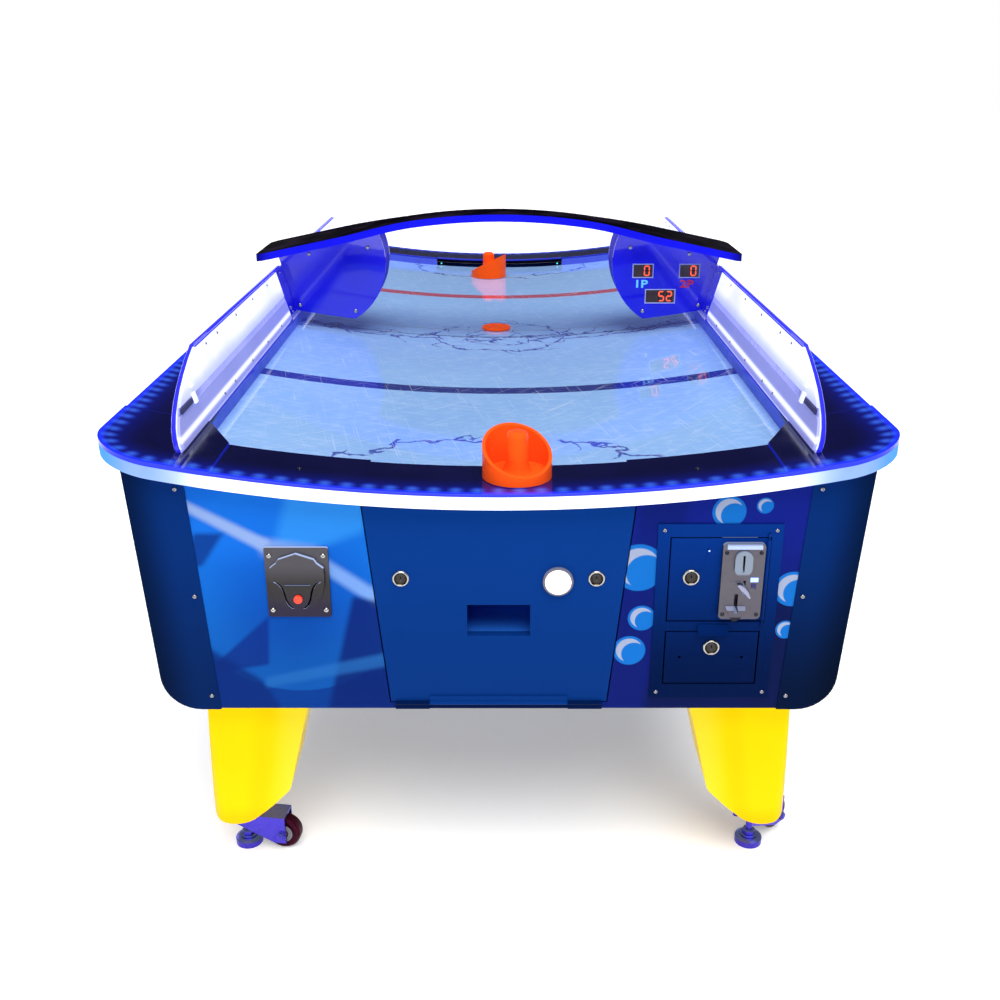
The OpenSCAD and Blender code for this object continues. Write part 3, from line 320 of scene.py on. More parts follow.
# Measures of the CAD model and of the prints on it, in metres
RIM_X, RIM_Y, RIM_R = 0.605, 1.110, 0.100
FIELD_Y, GOAL_X, GOAL_NOTCH = 0.977, 0.200, 0.008
GUARD_LEAN, SIDE_LEAN = math.radians(15.6), 0.0594
SEAM_X, SEAM_Y, SEAM_HALF = 0.42, 0.89, 0.0008
READER_X, LOCK_R, DISPLAY_Y = -0.307, 0.0135, 0.049
LAMP_PITCH, LAMP_DEPTH, HOLE_PITCH = 0.032, 0.017, 0.0254
OUTER_RING, INNER_RING, CREASE_X, CREASE_Y = 0.149, 0.0745, 0.27, 0.194


def rim_edge(f):
    """Depth in from the rim's outer edge, and the way along that edge."""
    across, length = f.size(f.x), f.size(f.y)
    past_x = f.math("SUBTRACT", across, RIM_X - RIM_R)
    past_y = f.math("SUBTRACT", length, RIM_Y - RIM_R)
    out_x, out_y = f.math("MAXIMUM", past_x, 0.0), f.math("MAXIMUM", past_y, 0.0)
    level = f.math("MINIMUM", f.math("MAXIMUM", past_x, past_y), 0.0)
    depth = f.math("SUBTRACT", RIM_R, f.plus(f.far(out_x, out_y), level))
    corner = f.times(f.math("ARCTAN2", out_y, out_x), RIM_R)
    run = f.plus(f.math("MINIMUM", length, RIM_Y - RIM_R), corner)
    run = f.math("SUBTRACT", run, f.math("MINIMUM", across, RIM_X - RIM_R))
    return depth, run


def deck_gloss():
    """Black acrylic over a row of lamps, with a lit outer edge and lit seams."""
    f = Finish("deck_gloss", Coat_Weight=0.15, Coat_Roughness=0.04, Specular_IOR_Level=0.25)
    depth, run = rim_edge(f)
    beside = f.times(f.math("SUBTRACT", f.math("FRACT", f.times(run, 1 / LAMP_PITCH)), 0.5), LAMP_PITCH)
    halo = f.ease(f.far(beside, f.math("SUBTRACT", depth, LAMP_DEPTH)), LAMP_DEPTH, 0.0)
    edge = f.ease(depth, 0.013, 0.005)
    wash = f.times(f.ease(depth, 0.085, 0.0), f.ease(depth, 0.085, 0.0))
    seam = f.most(*[f.stripe(f.size(way), line, SEAM_HALF, 0.0012) for way, line in ((f.x, SEAM_X), (f.y, SEAM_Y))])
    lip = f.times(f.ease(f.size(f.x), 0.492, 0.478), f.ease(f.size(f.y), 0.88, 0.80, 0.0, 0.45))
    end = f.ease(f.size(f.x), GOAL_X, GOAL_X - 0.001, FIELD_Y, FIELD_Y + GOAL_NOTCH)
    inner = f.math("SUBTRACT", f.size(f.y), end)
    end_lip = f.times(f.ease(inner, 0.0022, 0.0005), f.ease(f.size(f.x), 0.425, 0.415, 0.0, 0.5))
    f.set("Emission_Color", f.mix(halo, (0.012, 0.035, 1.0, 1), (0.05, 0.17, 1.0, 1)))
    f.set("Emission_Strength", f.plus(0.022, f.times(halo, 0.55), f.times(edge, 0.8), f.times(wash, 0.22),
                                      f.times(seam, 0.25), lip, end_lip))
    smear = f.noise(14, 5.0)
    f.set("Base_Color", f.mix(smear, paint("#04041C"), paint("#08082E")))
    f.set("Roughness", f.ease(smear, 0.35, 0.7, 0.08, 0.16))
    f.bumpy(f.noise(9, 2.0), 0.0004, 0.10)
    return f


def edge_light():
    """Lit band: white along each side, cyan and then blue at the corners."""
    f = Finish("edge_light", Roughness=0.5, Specular_IOR_Level=0.0)
    turn = f.math("MINIMUM", f.times(f.size(f.x), 1 / RIM_X), f.times(f.size(f.y), 1 / RIM_Y))
    hue = f.layers((1, 1, 1, 1), (f.ease(turn, 0.66, 0.84), (0.34, 0.56, 1, 1)),
                   (f.ease(turn, 0.87, 0.965), (0.06, 0.44, 1, 1)))
    ripple = f.noise(26, 2.0)
    f.set("Base_Color", f.mix(ripple, (0.05, 0.07, 0.24, 1), (0.07, 0.09, 0.30, 1)))
    f.set("Emission_Color", hue)
    f.set("Emission_Strength", f.times(f.ease(turn, 0.66, 0.86, 1.5, 0.8), f.ease(ripple, 0.2, 0.8, 0.93, 1.07)))
    return f


def ice_field():
    """Field sheet: ice blue, fine scratches, air holes, rink lines and rings of thorny vine."""
    f = Finish("ice_field", Coat_Weight=0.7, Coat_Roughness=0.035)
    ground = f.mix(f.noise(3.2, 4.0), paint("#84B0EA"), paint("#9CC6F5"))
    frost = f.ease(f.noise(40, 6.0, (1, 2.2, 1)), 0.46, 0.72)
    ground = f.mix(f.times(frost, 0.35), ground, paint("#B9D6FA"))
    marks = f.most(*[f.ease(f.noise(1.0, 2.0, (7, fine, 1), turn), 0.655, 0.70)
                     for turn, fine in ((0.25, 330), (1.35, 420), (-0.7, 380), (2.3, 300))])
    centre, round_it = f.far(f.x, f.y), f.math("ARCTAN2", f.y, f.x)
    wide, deep = f.times(f.x, 1 / CREASE_X), f.times(f.math("SUBTRACT", f.size(f.y), FIELD_Y), 1 / CREASE_Y)
    crease, round_crease = f.far(wide, deep), f.math("ARCTAN2", deep, wide)
    vines = f.most(*[f.vine(*stem) for stem in (
        (f.plus(centre, -OUTER_RING), f.times(round_it, OUTER_RING), 1.7, 0.042),
        (f.plus(centre, -INNER_RING), f.times(round_it, INNER_RING), 4.1, 0.028),
        (f.plus(f.y, 0.022), f.x, 7.3, 0.055), (f.plus(f.y, -0.004), f.x, 9.9, 0.047),
        (f.times(f.plus(crease, -1.0), 0.21), f.times(round_crease, 0.23), 2.9, 0.055))])
    sheet = f.layers(
        ground,
        (f.times(vines, 0.85), paint("#3034A0")),
        (f.times(f.stripe(f.y, -0.472, 0.021, 0.001), 0.94), paint("#0C1176")),
        (f.times(f.stripe(f.y, 0.49, 0.022, 0.001), 0.96), paint("#B80E16")),
        (f.times(f.stripe(f.y, 0.0, 0.0025, 0.001), 0.75), paint("#26234A")),
        (f.times(f.stripe(f.y, 0.07, 0.0018, 0.001), 0.6), paint("#8E8478")),
        (f.times(marks, 0.32), paint("#E6F1FF")))
    hole = f.far(*[f.math("SUBTRACT", f.math("FRACT", f.times(way, 1 / HOLE_PITCH)), 0.5) for way in (f.x, f.y)])
    pore = f.ease(hole, 0.030, 0.020)
    f.set("Base_Color", f.mix(f.times(pore, 0.6), sheet, paint("#3C4A86")))
    # painted glow: the far half of the field glows faintly blue, as if lit
    f.set("Emission_Color", (0.22, 0.42, 1.0, 1))
    f.set("Emission_Strength", f.ease(f.y, -0.3, 0.5, 0.0, 0.10))
    f.set("Roughness", f.ease(f.plus(marks, frost), 0.0, 1.6, 0.06, 0.2))
    f.bumpy(f.math("SUBTRACT", f.times(marks, -0.3), pore), 0.00012, 0.2)
    return f


def end_print():
    """Printed end panel: soft facets and beams, azure on one half, indigo with bubbles on the other."""
    f = Finish("end_print", Specular_IOR_Level=0.15, Specular_Tint=(0.1, 0.4, 1, 1))
    across = f.times(f.x, f.ease(f.y, 0.1, -0.1, -1.0, 1.0))
    up = f.z
    azure = f.mix(f.ease(up, 0.42, 0.70), paint("#083C92"), paint("#0E5CC4"))
    indigo = f.mix(f.ease(up, 0.45, 0.70), paint("#080C42"), paint("#10187C"))
    tone = f.mix(f.ease(across, -0.005, 0.005), azure, indigo)
    disc = f.far(f.plus(across, 0.315), f.plus(up, -0.565))
    tone = f.mix(f.times(f.ease(disc, 0.1835, 0.181), f.ease(disc, 0.05, 0.181, 0.0, 0.55)), tone, paint("#1570CC"))
    facets = (
        ([(-0.47, 0.62), (-0.30, 0.62), (-0.21, 0.73), (-0.47, 0.73)], 0.03, "#1466CE", 0.8),
        ([(-0.35, 0.60), (-0.20, 0.66), (-0.20, 0.735), (-0.31, 0.735)], 0.012, "#2E88DC", 0.75),
        ([(-0.475, 0.695), (-0.352, 0.622), (-0.345, 0.642), (-0.475, 0.712)], 0.006, "#8FA6D2", 0.85),
        ([(-0.36, 0.62), (-0.27, 0.585), (-0.27, 0.63), (-0.36, 0.645)], 0.012, "#8AA2D2", 0.85),
        ([(-0.30, 0.615), (-0.18, 0.525), (-0.18, 0.555), (-0.29, 0.632)], 0.007, "#769CD8", 0.85),
        ([(-0.46, 0.655), (-0.415, 0.655), (-0.452, 0.60), (-0.475, 0.60)], 0.006, "#082270", 0.8),
        ([(-0.275, 0.34), (-0.16, 0.34), (-0.16, 0.535), (-0.225, 0.55)], 0.007, "#081664", 0.9),
        ([(-0.47, 0.41), (-0.362, 0.43), (-0.357, 0.515), (-0.452, 0.428)], 0.005, "#0A247A", 0.85),
        ([(-0.47, 0.34), (-0.345, 0.34), (-0.372, 0.40), (-0.47, 0.47)], 0.008, "#07206C", 0.85),
        ([(-0.37, 0.388), (-0.17, 0.428), (-0.17, 0.452), (-0.37, 0.406)], 0.006, "#2E78C6", 0.55),
        ([(0.15, 0.34), (0.23, 0.34), (0.29, 0.74), (0.22, 0.74)], 0.012, "#0C1468", 0.8),
        ([(0.40, 0.34), (0.50, 0.34), (0.50, 0.50), (0.43, 0.56)], 0.01, "#070A3A", 0.7))
    for corners, soft, code, share in facets:
        turn = sum(a[0] * b[1] - b[0] * a[1] for a, b in zip(corners, corners[1:] + corners[:1]))
        corners = corners if turn > 0 else corners[::-1]
        tone = f.mix(f.times(f.inside(across, up, corners, soft), share), tone, paint(code))
    for sx, sz, r in ((0.214, 0.598, 0.040), (0.222, 0.512, 0.022), (0.205, 0.455, 0.026), (0.452, 0.562, 0.030),
                      (0.447, 0.492, 0.016), (0.345, 0.690, 0.026), (0.398, 0.700, 0.013)):
        drop, shine, shade = [
            f.times(f.far(f.plus(across, -sx - dx * r), f.plus(up, -sz - dz * r)), 1 / (r * k))
            for dx, dz, k in ((0, 0, 1), (0, 0.02, 0.82), (0.28, -0.22, 0.78))]
        crescent = f.times(f.ease(shine, 1.0, 0.93), f.ease(shade, 0.93, 1.0))
        tone = f.layers(tone, (f.ease(drop, 1.0, 0.95), paint("#1468BC")), (crescent, paint("#98A2BC")))
    low = f.times(f.ease(up, 0.56, 0.37, 0.0, 0.4), f.ease(across, 0.005, -0.005))
    f.set("Base_Color", f.mix(low, tone, paint("#041E5C")))
    f.rough(0.4, 0.05)
    f.bumpy(f.noise(1300, 2.0), 0.00005, 0.25)
    return f


def corner_paint():
    """Bent corner sheet: blue with painted shade round its curved edges, and painted shade towards the bottom that is
    heavier on the right.
    """
    f = Finish("corner_paint", Specular_Tint=(0.1, 0.35, 1, 1), Specular_IOR_Level=0.08)
    bend_shade = f.ease(f.plus(f.size(f.x), f.times(f.z, -SIDE_LEAN)), 0.45, 0.515)
    low = f.ease(f.z, 0.70, 0.36)
    slow = f.mix(f.noise(3, 2.0), paint("#042664"), paint("#062C6E"))
    # painted shade: darker towards the bottom, heavier on the right, and darker still round the curve
    f.set("Base_Color", f.layers(slow, (f.times(low, f.ease(f.x, -0.1, 0.1, 0.5, 1.0)), paint("#020E2C")),
                                 (f.times(bend_shade, 0.75), paint("#01040E"))))
    f.rough(0.4, 0.05)
    f.bumpy(f.noise(1500, 2.0), 0.00005, 0.3)
    return f


def bridge_gloss():
    """Glossy blue acrylic, lit from inside."""
    f = Finish("bridge_gloss", Coat_Weight=0.9, Coat_Roughness=0.03, Emission_Color=(0.004, 0.004, 0.75, 1))
    cloud = f.noise(7, 3.0)
    f.set("Base_Color", f.mix(cloud, paint("#0C0AA0"), paint("#1612C8")))
    f.set("Emission_Strength", f.ease(cloud, 0.2, 0.8, 0.22, 0.36))
    f.set("Roughness", f.ease(cloud, 0.3, 0.7, 0.08, 0.16))
    f.bumpy(f.noise(16, 2.0), 0.0003, 0.08)
    return f


def post_core():
    """Blue sheet wrapped round each post."""
    f = Finish("post_core", Specular_IOR_Level=0.05, Emission_Color=(0.004, 0.004, 0.75, 1))
    cloud = f.noise(9, 3.0)
    f.set("Base_Color", f.mix(cloud, paint("#0A0890"), paint("#100DB0")))
    f.set("Emission_Strength", f.ease(cloud, 0.2, 0.8, 0.16, 0.28))
    f.rough(0.55, 0.06)
    return f


def arch_gloss():
    """Arch: smoked black top, blue lit edges and underside, with painted shade that turns the tips navy and dims
    their glow.
    """
    f = Finish("arch_gloss", Coat_Weight=0.02, Coat_Roughness=0.05, Specular_IOR_Level=0.0,
               Emission_Color=(0.010, 0.014, 0.9, 1))
    top = f.ease(f.facing("Z"), 0.45, 0.9)
    tip_shade = f.ease(f.size(f.x), 0.50, 0.565)
    smear = f.noise(12, 4.0)
    # painted shade at the tips: navy colour and a much weaker glow
    edge = f.mix(tip_shade, f.mix(smear, paint("#0C0A98"), paint("#1410C0")), paint("#04031C"))
    f.set("Base_Color", f.mix(top, edge, f.mix(f.ease(smear, 0.4, 0.7), paint("#06050C"), paint("#1E1624"))))
    f.set("Emission_Strength", f.times(f.ease(top, 0.0, 1.0, 0.5, 0.0), f.ease(tip_shade, 0.0, 1.0, 1.0, 0.06)))
    f.set("Roughness", f.mix(top, f.ease(smear, 0.3, 0.7, 0.06, 0.13), f.ease(smear, 0.35, 0.65, 0.22, 0.34)))
    return f


def rim_paint():
    """Painted rim board: navy, with its walls round the field pale from the lamps."""
    f = Finish("rim_paint", Specular_IOR_Level=0.15)
    wall = f.times(f.ease(f.size(f.x), 0.4716, 0.4704), f.ease(f.size(f.y), 0.9788, 0.9774))
    grain = f.noise(40, 4.0)
    pale = f.mix(f.ease(f.size(f.y), 0.90, 0.97), paint("#5468DA"), paint("#4A58C0"))
    f.set("Base_Color", f.mix(wall, f.mix(grain, paint("#080C30"), paint("#0C1244")), pale))
    f.set("Emission_Color", (0.05, 0.10, 1.0, 1))
    f.set("Emission_Strength", f.times(wall, f.ease(grain, 0.3, 0.7, 0.10, 0.16)))
    f.rough(0.4, 0.06)
    return f


def guard_clear():
    """Clear guard sheet with lit blue edges."""
    f = Finish("guard_clear", IOR=1.49, Specular_IOR_Level=0.4)
    out = f.plus(f.times(f.size(f.facing("X")), math.cos(GUARD_LEAN)),
                 f.times(f.size(f.facing("Z")), math.sin(GUARD_LEAN)))
    rim = f.most(f.ease(out, 0.9, 0.5), f.ease(f.z, 0.8793, 0.8803))
    f.set("Transmission_Weight", f.ease(rim, 0.0, 1.0, 1.0, 0.1))
    f.set("Emission_Color", f.mix(rim, (0.52, 0.57, 1.0, 1), (0.015, 0.012, 1.0, 1)))
    f.set("Emission_Strength", f.ease(rim, 0.0, 1.0, 0.62, 0.30))
    clear = f.mix(f.noise(20, 3.0), (0.80, 0.82, 1, 1), (0.90, 0.92, 1, 1))
    f.set("Base_Color", f.mix(rim, clear, (0.02, 0.02, 0.60, 1)))
    f.set("Roughness", f.ease(f.noise(120, 5.0), 0.4, 0.75, 0.02, 0.08))
    return f


def guard_lit():
    """Frosted guard strips: white above, lavender below with a bright line, blue along the top."""
    f = Finish("guard_lit", Roughness=0.42)
    lower = f.ease(f.z, 0.822, 0.817)
    line = f.stripe(f.z, 0.7885, 0.0012, 0.007)
    fade = f.ease(f.z, 0.826, 0.852)
    cloud = f.noise(9, 3.0)
    brim = f.ease(f.z, 0.8792, 0.8800)
    hue = f.layers((0.62, 0.68, 1, 1), (fade, (0.95, 0.97, 1, 1)), (lower, (0.30, 0.33, 0.95, 1)),
                   (line, (0.95, 0.97, 1, 1)), (brim, (0.02, 0.02, 0.75, 1)))
    f.set("Base_Color", f.mix(brim, f.mix(cloud, paint("#8488C8"), paint("#A9ACE0")), paint("#1816B4")))
    f.set("Emission_Color", hue)
    f.set("Emission_Strength", f.plus(f.ease(lower, 0.0, 1.0, 0.62, 0.30),
                                      f.times(fade, f.ease(cloud, 0.3, 0.7, 0.15, 0.4)), f.times(line, 0.6)))
    f.bumpy(f.noise(700, 2.0), 0.00008, 0.3)
    return f


def channel_coat():
    """Channel between the guard strips: pale from their lamps, darker near its ends."""
    f = Finish("channel_coat", Emission_Color=(0.40, 0.44, 1.0, 1))
    cloud = f.noise(14, 3.0)
    f.set("Base_Color", f.mix(cloud, paint("#7678BE"), paint("#8486CC")))
    f.set("Emission_Strength", f.times(f.ease(f.size(f.y), 0.95, 0.84), f.ease(cloud, 0.3, 0.7, 0.56, 0.68)))
    f.rough(0.3, 0.04)
    return f


def leg_plastic():
    """Moulded yellow with painted light: a painted crease of lighter and darker bands, painted orange shade at the
    rims and the toe, and a painted glow near the top.
    """
    f = Finish("leg_plastic", Specular_Tint=(1, 0.8, 0.05, 1), Emission_Color=(1.0, 0.82, 0.0, 1))
    outer = f.ease(f.size(f.x), 0.479, 0.492)
    toe = f.ease(f.z, 0.135, 0.088)
    crease = f.plus(f.size(f.x), f.times(f.z, 0.137), -0.423)
    tone = f.mix(f.noise(3, 2.0), paint("#FFCC00"), paint("#FFD400"))
    # painted light and shade: lighter beside the crease, a darker band along it, orange shade at the rims and the toe
    f.set("Base_Color", f.layers(
        tone, (f.times(f.ease(crease, 0.0, -0.05), 0.6), paint("#FFE040")),
        (f.times(f.stripe(crease, 0.006, 0.002, 0.026), 0.45), paint("#FFC000")),
        (f.times(outer, 0.5), paint("#FFA800")), (f.times(toe, 0.45), paint("#F8A400"))))
    # painted glow near the top, where the cabinet shades the leg
    f.set("Emission_Strength", f.ease(f.z, 0.22, 0.345, 0.0, 0.20))
    f.rough(0.34, 0.04)
    f.bumpy(f.noise(600, 2.0), 0.00004, 0.2)
    return f


def striker_plastic():
    """Orange moulding with a faint even painted glow all over, standing in for light passing through the plastic."""
    f = moulded("striker_plastic", "#FF5416", rough=0.28)
    # painted glow over the whole striker
    f.set("Emission_Color", (1.0, 0.13, 0.02, 1))
    f.set("Emission_Strength", 0.10)
    return f


def lens(name, light, strength, rim):
    """Lit cap: bright with a soft mottle."""
    f = Finish(name, Coat_Weight=0.6, Coat_Roughness=0.05, Emission_Color=light)
    mottle = f.noise(160, 2.0)
    f.set("Base_Color", f.mix(mottle, rim, light))
    f.set("Emission_Strength", f.ease(mottle, 0.2, 0.8, strength * 0.85, strength * 1.1))
    f.rough(0.22, 0.04, 90)
    return f


def smoked_window():
    """Smoked brown display window."""
    f = Finish("smoked_window", Coat_Weight=0.5, Coat_Roughness=0.05)
    f.set("Base_Color", f.mix(f.noise(60, 4.0), paint("#352521"), paint("#51403A")))
    f.rough(0.12, 0.04, 80)
    return f


def chipboard(name, light, dark):
    """Pressed board: flakes of two tones."""
    f = Finish(name)
    flakes = f.add("TexVoronoi", Vector=f.spot, Scale=260.0).outputs["Color"]
    grey = f.add("SeparateXYZ", Vector=flakes).outputs[0]
    f.set("Base_Color", f.mix(f.plus(f.times(grey, 0.6), f.times(f.noise(30, 4.0), 0.4)), paint(dark), paint(light)))
    f.rough(0.72, 0.08)
    f.bumpy(grey, 0.0002, 0.4)
    return f


def acceptor_cast():
    """Cast alloy with painted light: a painted highlight on the raised coin entry, a painted glow along the top edge
    and painted shade towards the bottom.
    """
    f = metal("acceptor_cast", "#615E66", 0.38, scale=900, depth=0.00008, dirt=0.25, lit=0.35)
    ledge_glow = f.times(f.ease(f.z, 0.6325, 0.6345), f.ease(f.y, -1.0918, -1.0935))
    raised = f.times(f.ease(f.y, -1.0935, -1.0955), f.ease(f.z, 0.590, 0.594))
    # painted shade towards the bottom and a painted highlight on the raised coin entry
    f.set("Base_Color", f.layers(f.tone, (f.times(f.ease(f.z, 0.58, 0.51), 0.35), paint("#565260")),
                                 (f.times(raised, 0.9), paint("#8793A4"))))
    # painted glow along the top edge, added to the painted glow of faces that look up
    f.set("Emission_Strength", f.most(f.above, f.times(ledge_glow, 0.8)))
    return f


def reader_cast():
    """Grey reader casting with painted light: lighter above and violet-dark below, a painted glow on its upper edges
    and near-black painted shade in the grooves.
    """
    f = metal("reader_metal", "#3A3839", 0.42, scale=900, depth=0.00005, dirt=0.15, lit=0.9)
    aside = f.size(f.math("SUBTRACT", f.x, READER_X))
    groove_shade = f.times(f.ease(f.y, -1.0926, -1.0918), f.stripe(f.z, 0.5525, 0.0225, 0.002))
    groove_shade = f.times(groove_shade, f.ease(f.plus(aside, f.times(f.z, -0.61)), -0.3096, -0.3106))
    # painted light: lighter towards the top, violet painted shade towards the bottom, near-black painted shade in the
    # grooves
    f.set("Base_Color", f.layers(f.tone, (f.ease(f.z, 0.57, 0.61, 0.0, 0.45), paint("#64626A")),
                                 (f.ease(f.z, 0.565, 0.525, 0.0, 0.6), paint("#2E2844")), (groove_shade, paint("#050506"))))
    # painted glow on faces that look up, left out in the grooves
    f.set("Emission_Strength", f.times(f.above, f.ease(groove_shade, 0.0, 1.0, 1.0, 0.08)))
    return f


def tray_plastic():
    """Blue moulded tray behind a puck outlet, with a painted glow that grows towards its top."""
    f = moulded("tray_blue", "#2160C0", rough=0.5)
    # painted glow, stronger higher up
    f.set("Emission_Color", (0.008, 0.040, 0.22, 1))
    f.set("Emission_Strength", f.ease(f.z, 0.488, 0.530, 0.0, 0.9))
    return f


def lock_chrome(node):
    """Chrome bezel of a cam lock, with painted shade in the well round its plug."""
    f = metal(node + "_chrome", "#B4B2AE", 0.12, dirt=0.2)
    low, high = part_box(node)
    aside = f.math("SUBTRACT", f.size(f.x), high.x - LOCK_R)
    from_axis = f.far(aside, f.math("SUBTRACT", f.z, (low.z + high.z) / 2))
    # painted shade: a dark ring round the plug, where the real lock's dish looks dark
    f.set("Base_Color", f.mix(f.ease(from_axis, 0.0106, 0.0098), f.tone, paint("#332C26")))
    return f


# finishes given a lit value carry painted light: a glow on faces that look up and shade on faces that look down
FINISHES = {
    "deck_black": deck_gloss(),
    "rim_core": rim_paint(),
    "lit_band": edge_light(),
    "field_white": ice_field(),
    "board": chipboard("pressed_board", "#B49468", "#7E6240"),
    # the sprayed finishes carry painted shade that darkens them towards the bottom
    "cabinet_blue": sprayed("cabinet_paint", "#06326E", drift=0.02, foot_shade=0.6),
    "panel_art": end_print(),
    "door_blue": sprayed("door_paint", "#08357F", foot_shade=0.78),
    "corner_blue": corner_paint(),
    "coin_blue": sprayed("coin_paint", "#062F7C", foot_shade=0.2),
    "steel": metal("plain_steel", "#8F9298", 0.34),
    "zinc": metal("zinc_plate", "#4A40BE", 0.30, scale=240, lit=0.12),
    "chrome": metal("bright_chrome", "#B4B2AE", 0.12, dirt=0.2),
    "cast_silver": metal("cast_alloy", "#A6A8B0", 0.33, scale=900, depth=0.00008, dirt=0.2),
    "reader_grey": reader_cast(),
    "lens_white": lens("start_lens", (0.95, 0.97, 1, 1), 1.1, (0.8, 0.85, 0.95, 1)),
    "lens_red": lens("token_lens", (1.0, 0.04, 0.01, 1), 0.5, (0.8, 0.03, 0.01, 1)),
    "bridge_blue": bridge_gloss(),
    "display": smoked_window(),
    "clear_pane": guard_clear(),
    "frosted": guard_lit(),
    "channel": channel_coat(),
    "leg_yellow": leg_plastic(),
    "tread_red": moulded("wheel_tread", "#320C1C", rough=0.42),
    "black_plastic": moulded("black_moulding", "#141416", rough=0.45),
    "grey_plastic": moulded("grey_moulding", "#7C7E84", rough=0.45),
    "striker_orange": striker_plastic(),
}
# the plug, lever and button finishes are given lit values too: painted glow above, painted shade below
PLUG_DARK = metal("plug_dark", "#3E3A36", 0.22, scale=700, lit=0.2)
NODE_FINISHES = {"arch": arch_gloss(), "bridge_posts": post_core(), "coin_acceptor": acceptor_cast(),
                 "reject_lever": metal("lever_plate", "#9498B0", 0.3, scale=700, lit=0.3),
                 "start_bezel": metal("button_chrome", "#6C6872", 0.16, scale=700, lit=0.25),
                 "puck_trays": tray_plastic()}
for lock in ("front_locks", "coin_lock", "cash_lock"):
    NODE_FINISHES[lock] = lock_chrome(lock)
for plug in ("front_plug_left", "front_plug_right", "coin_plug", "cash_plug"):
    NODE_FINISHES[plug] = PLUG_DARK
SCREW_FINISH = metal("screw_plate", "#97949A", 0.24, scale=700)
DARK_SCREW = metal("dark_screw", "#3A3C42", 0.35, scale=700)
DIGIT_LIT = lens("digit_lit", (1.0, 0.07, 0.015, 1), 1.5, (0.9, 0.2, 0.1, 1))
DIGIT_DIM = moulded("digit_dim", "#3C1A14", rough=0.3)
FRAME_EDGE = moulded("window_frame", "#B4B8E4", rough=0.3)
FIRST_MARK = lens("first_player_mark", (0.10, 0.42, 0.95, 1), 0.7, (0.1, 0.4, 0.9, 1))
SECOND_MARK = lens("second_player_mark", (0.38, 0.004, 0.03, 1), 0.5, (0.3, 0.01, 0.02, 1))
TEAL_LAMP = lens("goal_lamp", (0.05, 0.62, 0.6, 1), 0.9, (0.1, 0.5, 0.5, 1))
COIN_LAMP = lens("coin_lamp", (0.22, 0.38, 1.0, 1), 1.4, (0.5, 0.6, 0.9, 1))
CLIP_WHITE = lens("guard_clip", (0.8, 0.86, 1.0, 1), 0.7, (0.7, 0.75, 0.9, 1))
# dark moulding of the guard end clips, also used as painted shade for the coin entry's pocket
DARK_CLIP_AND_POCKET_SHADE = moulded("dark_clip_and_pocket_shade", "#3A3A66", rough=0.4)

# Edge rounding of the CAD pieces, in millimetres; pieces inside the cabinet keep their edges
ROUNDING = {
    "end_decks": 1.0, "side_decks": 1.0, "corner_caps": 1.0, "edge_band": 2.5, "rim_frame": 0.8, "arch": 2.5,
    "bridge_posts": 0.8, "post_faces": 0.8, "bridge_brackets": 0.6, "score_displays": 0.3, "guard_panes": 0.8,
    "guard_strips": 0.6, "guard_channels": 0.4, "side_walls": 1.0, "front_panel": 0.6, "rear_panel": 0.6,
    "corner_guards": 0.4, "front_door": 0.8, "front_hinge": 0.3, "rear_service_panel": 0.6, "coin_frame": 0.8,
    "coin_door": 0.6, "cash_drawer": 0.6, "coin_acceptor": 0.5, "reject_lever": 0.4, "front_locks": 0.5,
    "coin_lock": 0.5, "cash_lock": 0.5, "front_plug_left": 0.3, "front_plug_right": 0.3, "coin_plug": 0.3,
    "cash_plug": 0.3, "start_bezel": 0.8, "start_plunger": 1.2, "token_reader": 0.6, "reader_button": 0.8,
    "legs": 4.0, "levelling_feet": 0.6, "puck": 1.5, "striker_near": 2.0, "striker_far": 2.0,
}
for quarter in ("front_left", "front_right", "rear_left", "rear_right"):
    ROUNDING["fork_" + quarter] = 0.6
    ROUNDING["wheel_" + quarter] = 1.5

# Pieces of flat sheet, which are shaded flat
FLAT_SHEETS = ("cash_drawer", "coin_door", "coin_frame", "front_door", "front_panel", "rear_panel",
               "rear_service_panel", "post_faces")


def soften(piece, rounding):
    """Join the CAD triangles, round the edges and shade the slow curves smooth."""
    flat = piece.name in FLAT_SHEETS
    for face in piece.data.polygons:
        face.use_smooth = not flat
    weld = piece.modifiers.new("join", "WELD")
    weld.merge_threshold = 0.00001
    edge = piece.modifiers.new("edge", "BEVEL")
    edge.width = rounding * MM
    edge.segments = 2
    edge.limit_method = "ANGLE"
    edge.angle_limit = math.radians(28)
    edge.use_clamp_overlap = True
    edge.miter_outer = "MITER_ARC"
    if not flat:
        even = piece.modifiers.new("even", "WEIGHTED_NORMAL")
        even.mode = "FACE_AREA"
        even.weight = 80


for part in frame["record"]["subparts"]:
    piece = nodes[part["node"]]
    finish = NODE_FINISHES.get(part["node"], FINISHES[part["material_slot"]])
    piece.data.materials.clear()
    piece.data.materials.append(finish.material)
    if part["node"] in ROUNDING:
        soften(piece, ROUNDING[part["node"]])


# Fittings

def finished(name, shape, body, finish):
    """Turn a worked shape into a piece that rides on a body."""
    mesh = bpy.data.meshes.new(name)
    shape.to_mesh(mesh)
    shape.free()
    mesh.materials.append(finish.material)
    piece = put_in_scene(name, mesh)
    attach(piece, body)


def spun(profile, steps=20):
    """A closed turned shape of (radius, height) steps on the Z axis."""
    shape = bmesh.new()
    verts = [shape.verts.new((r * MM, 0, h * MM)) for r, h in profile]
    edges = [shape.edges.new(pair) for pair in zip(verts, verts[1:])]
    bmesh.ops.spin(shape, geom=verts + edges, axis=(0, 0, 1), cent=(0, 0, 0), angle=math.tau, steps=steps,
                   use_merge=True)
    bmesh.ops.remove_doubles(shape, verts=shape.verts, dist=0.000001)
    bmesh.ops.recalc_face_normals(shape, faces=shape.faces)
    for face in shape.faces:
        face.smooth = True
    return shape


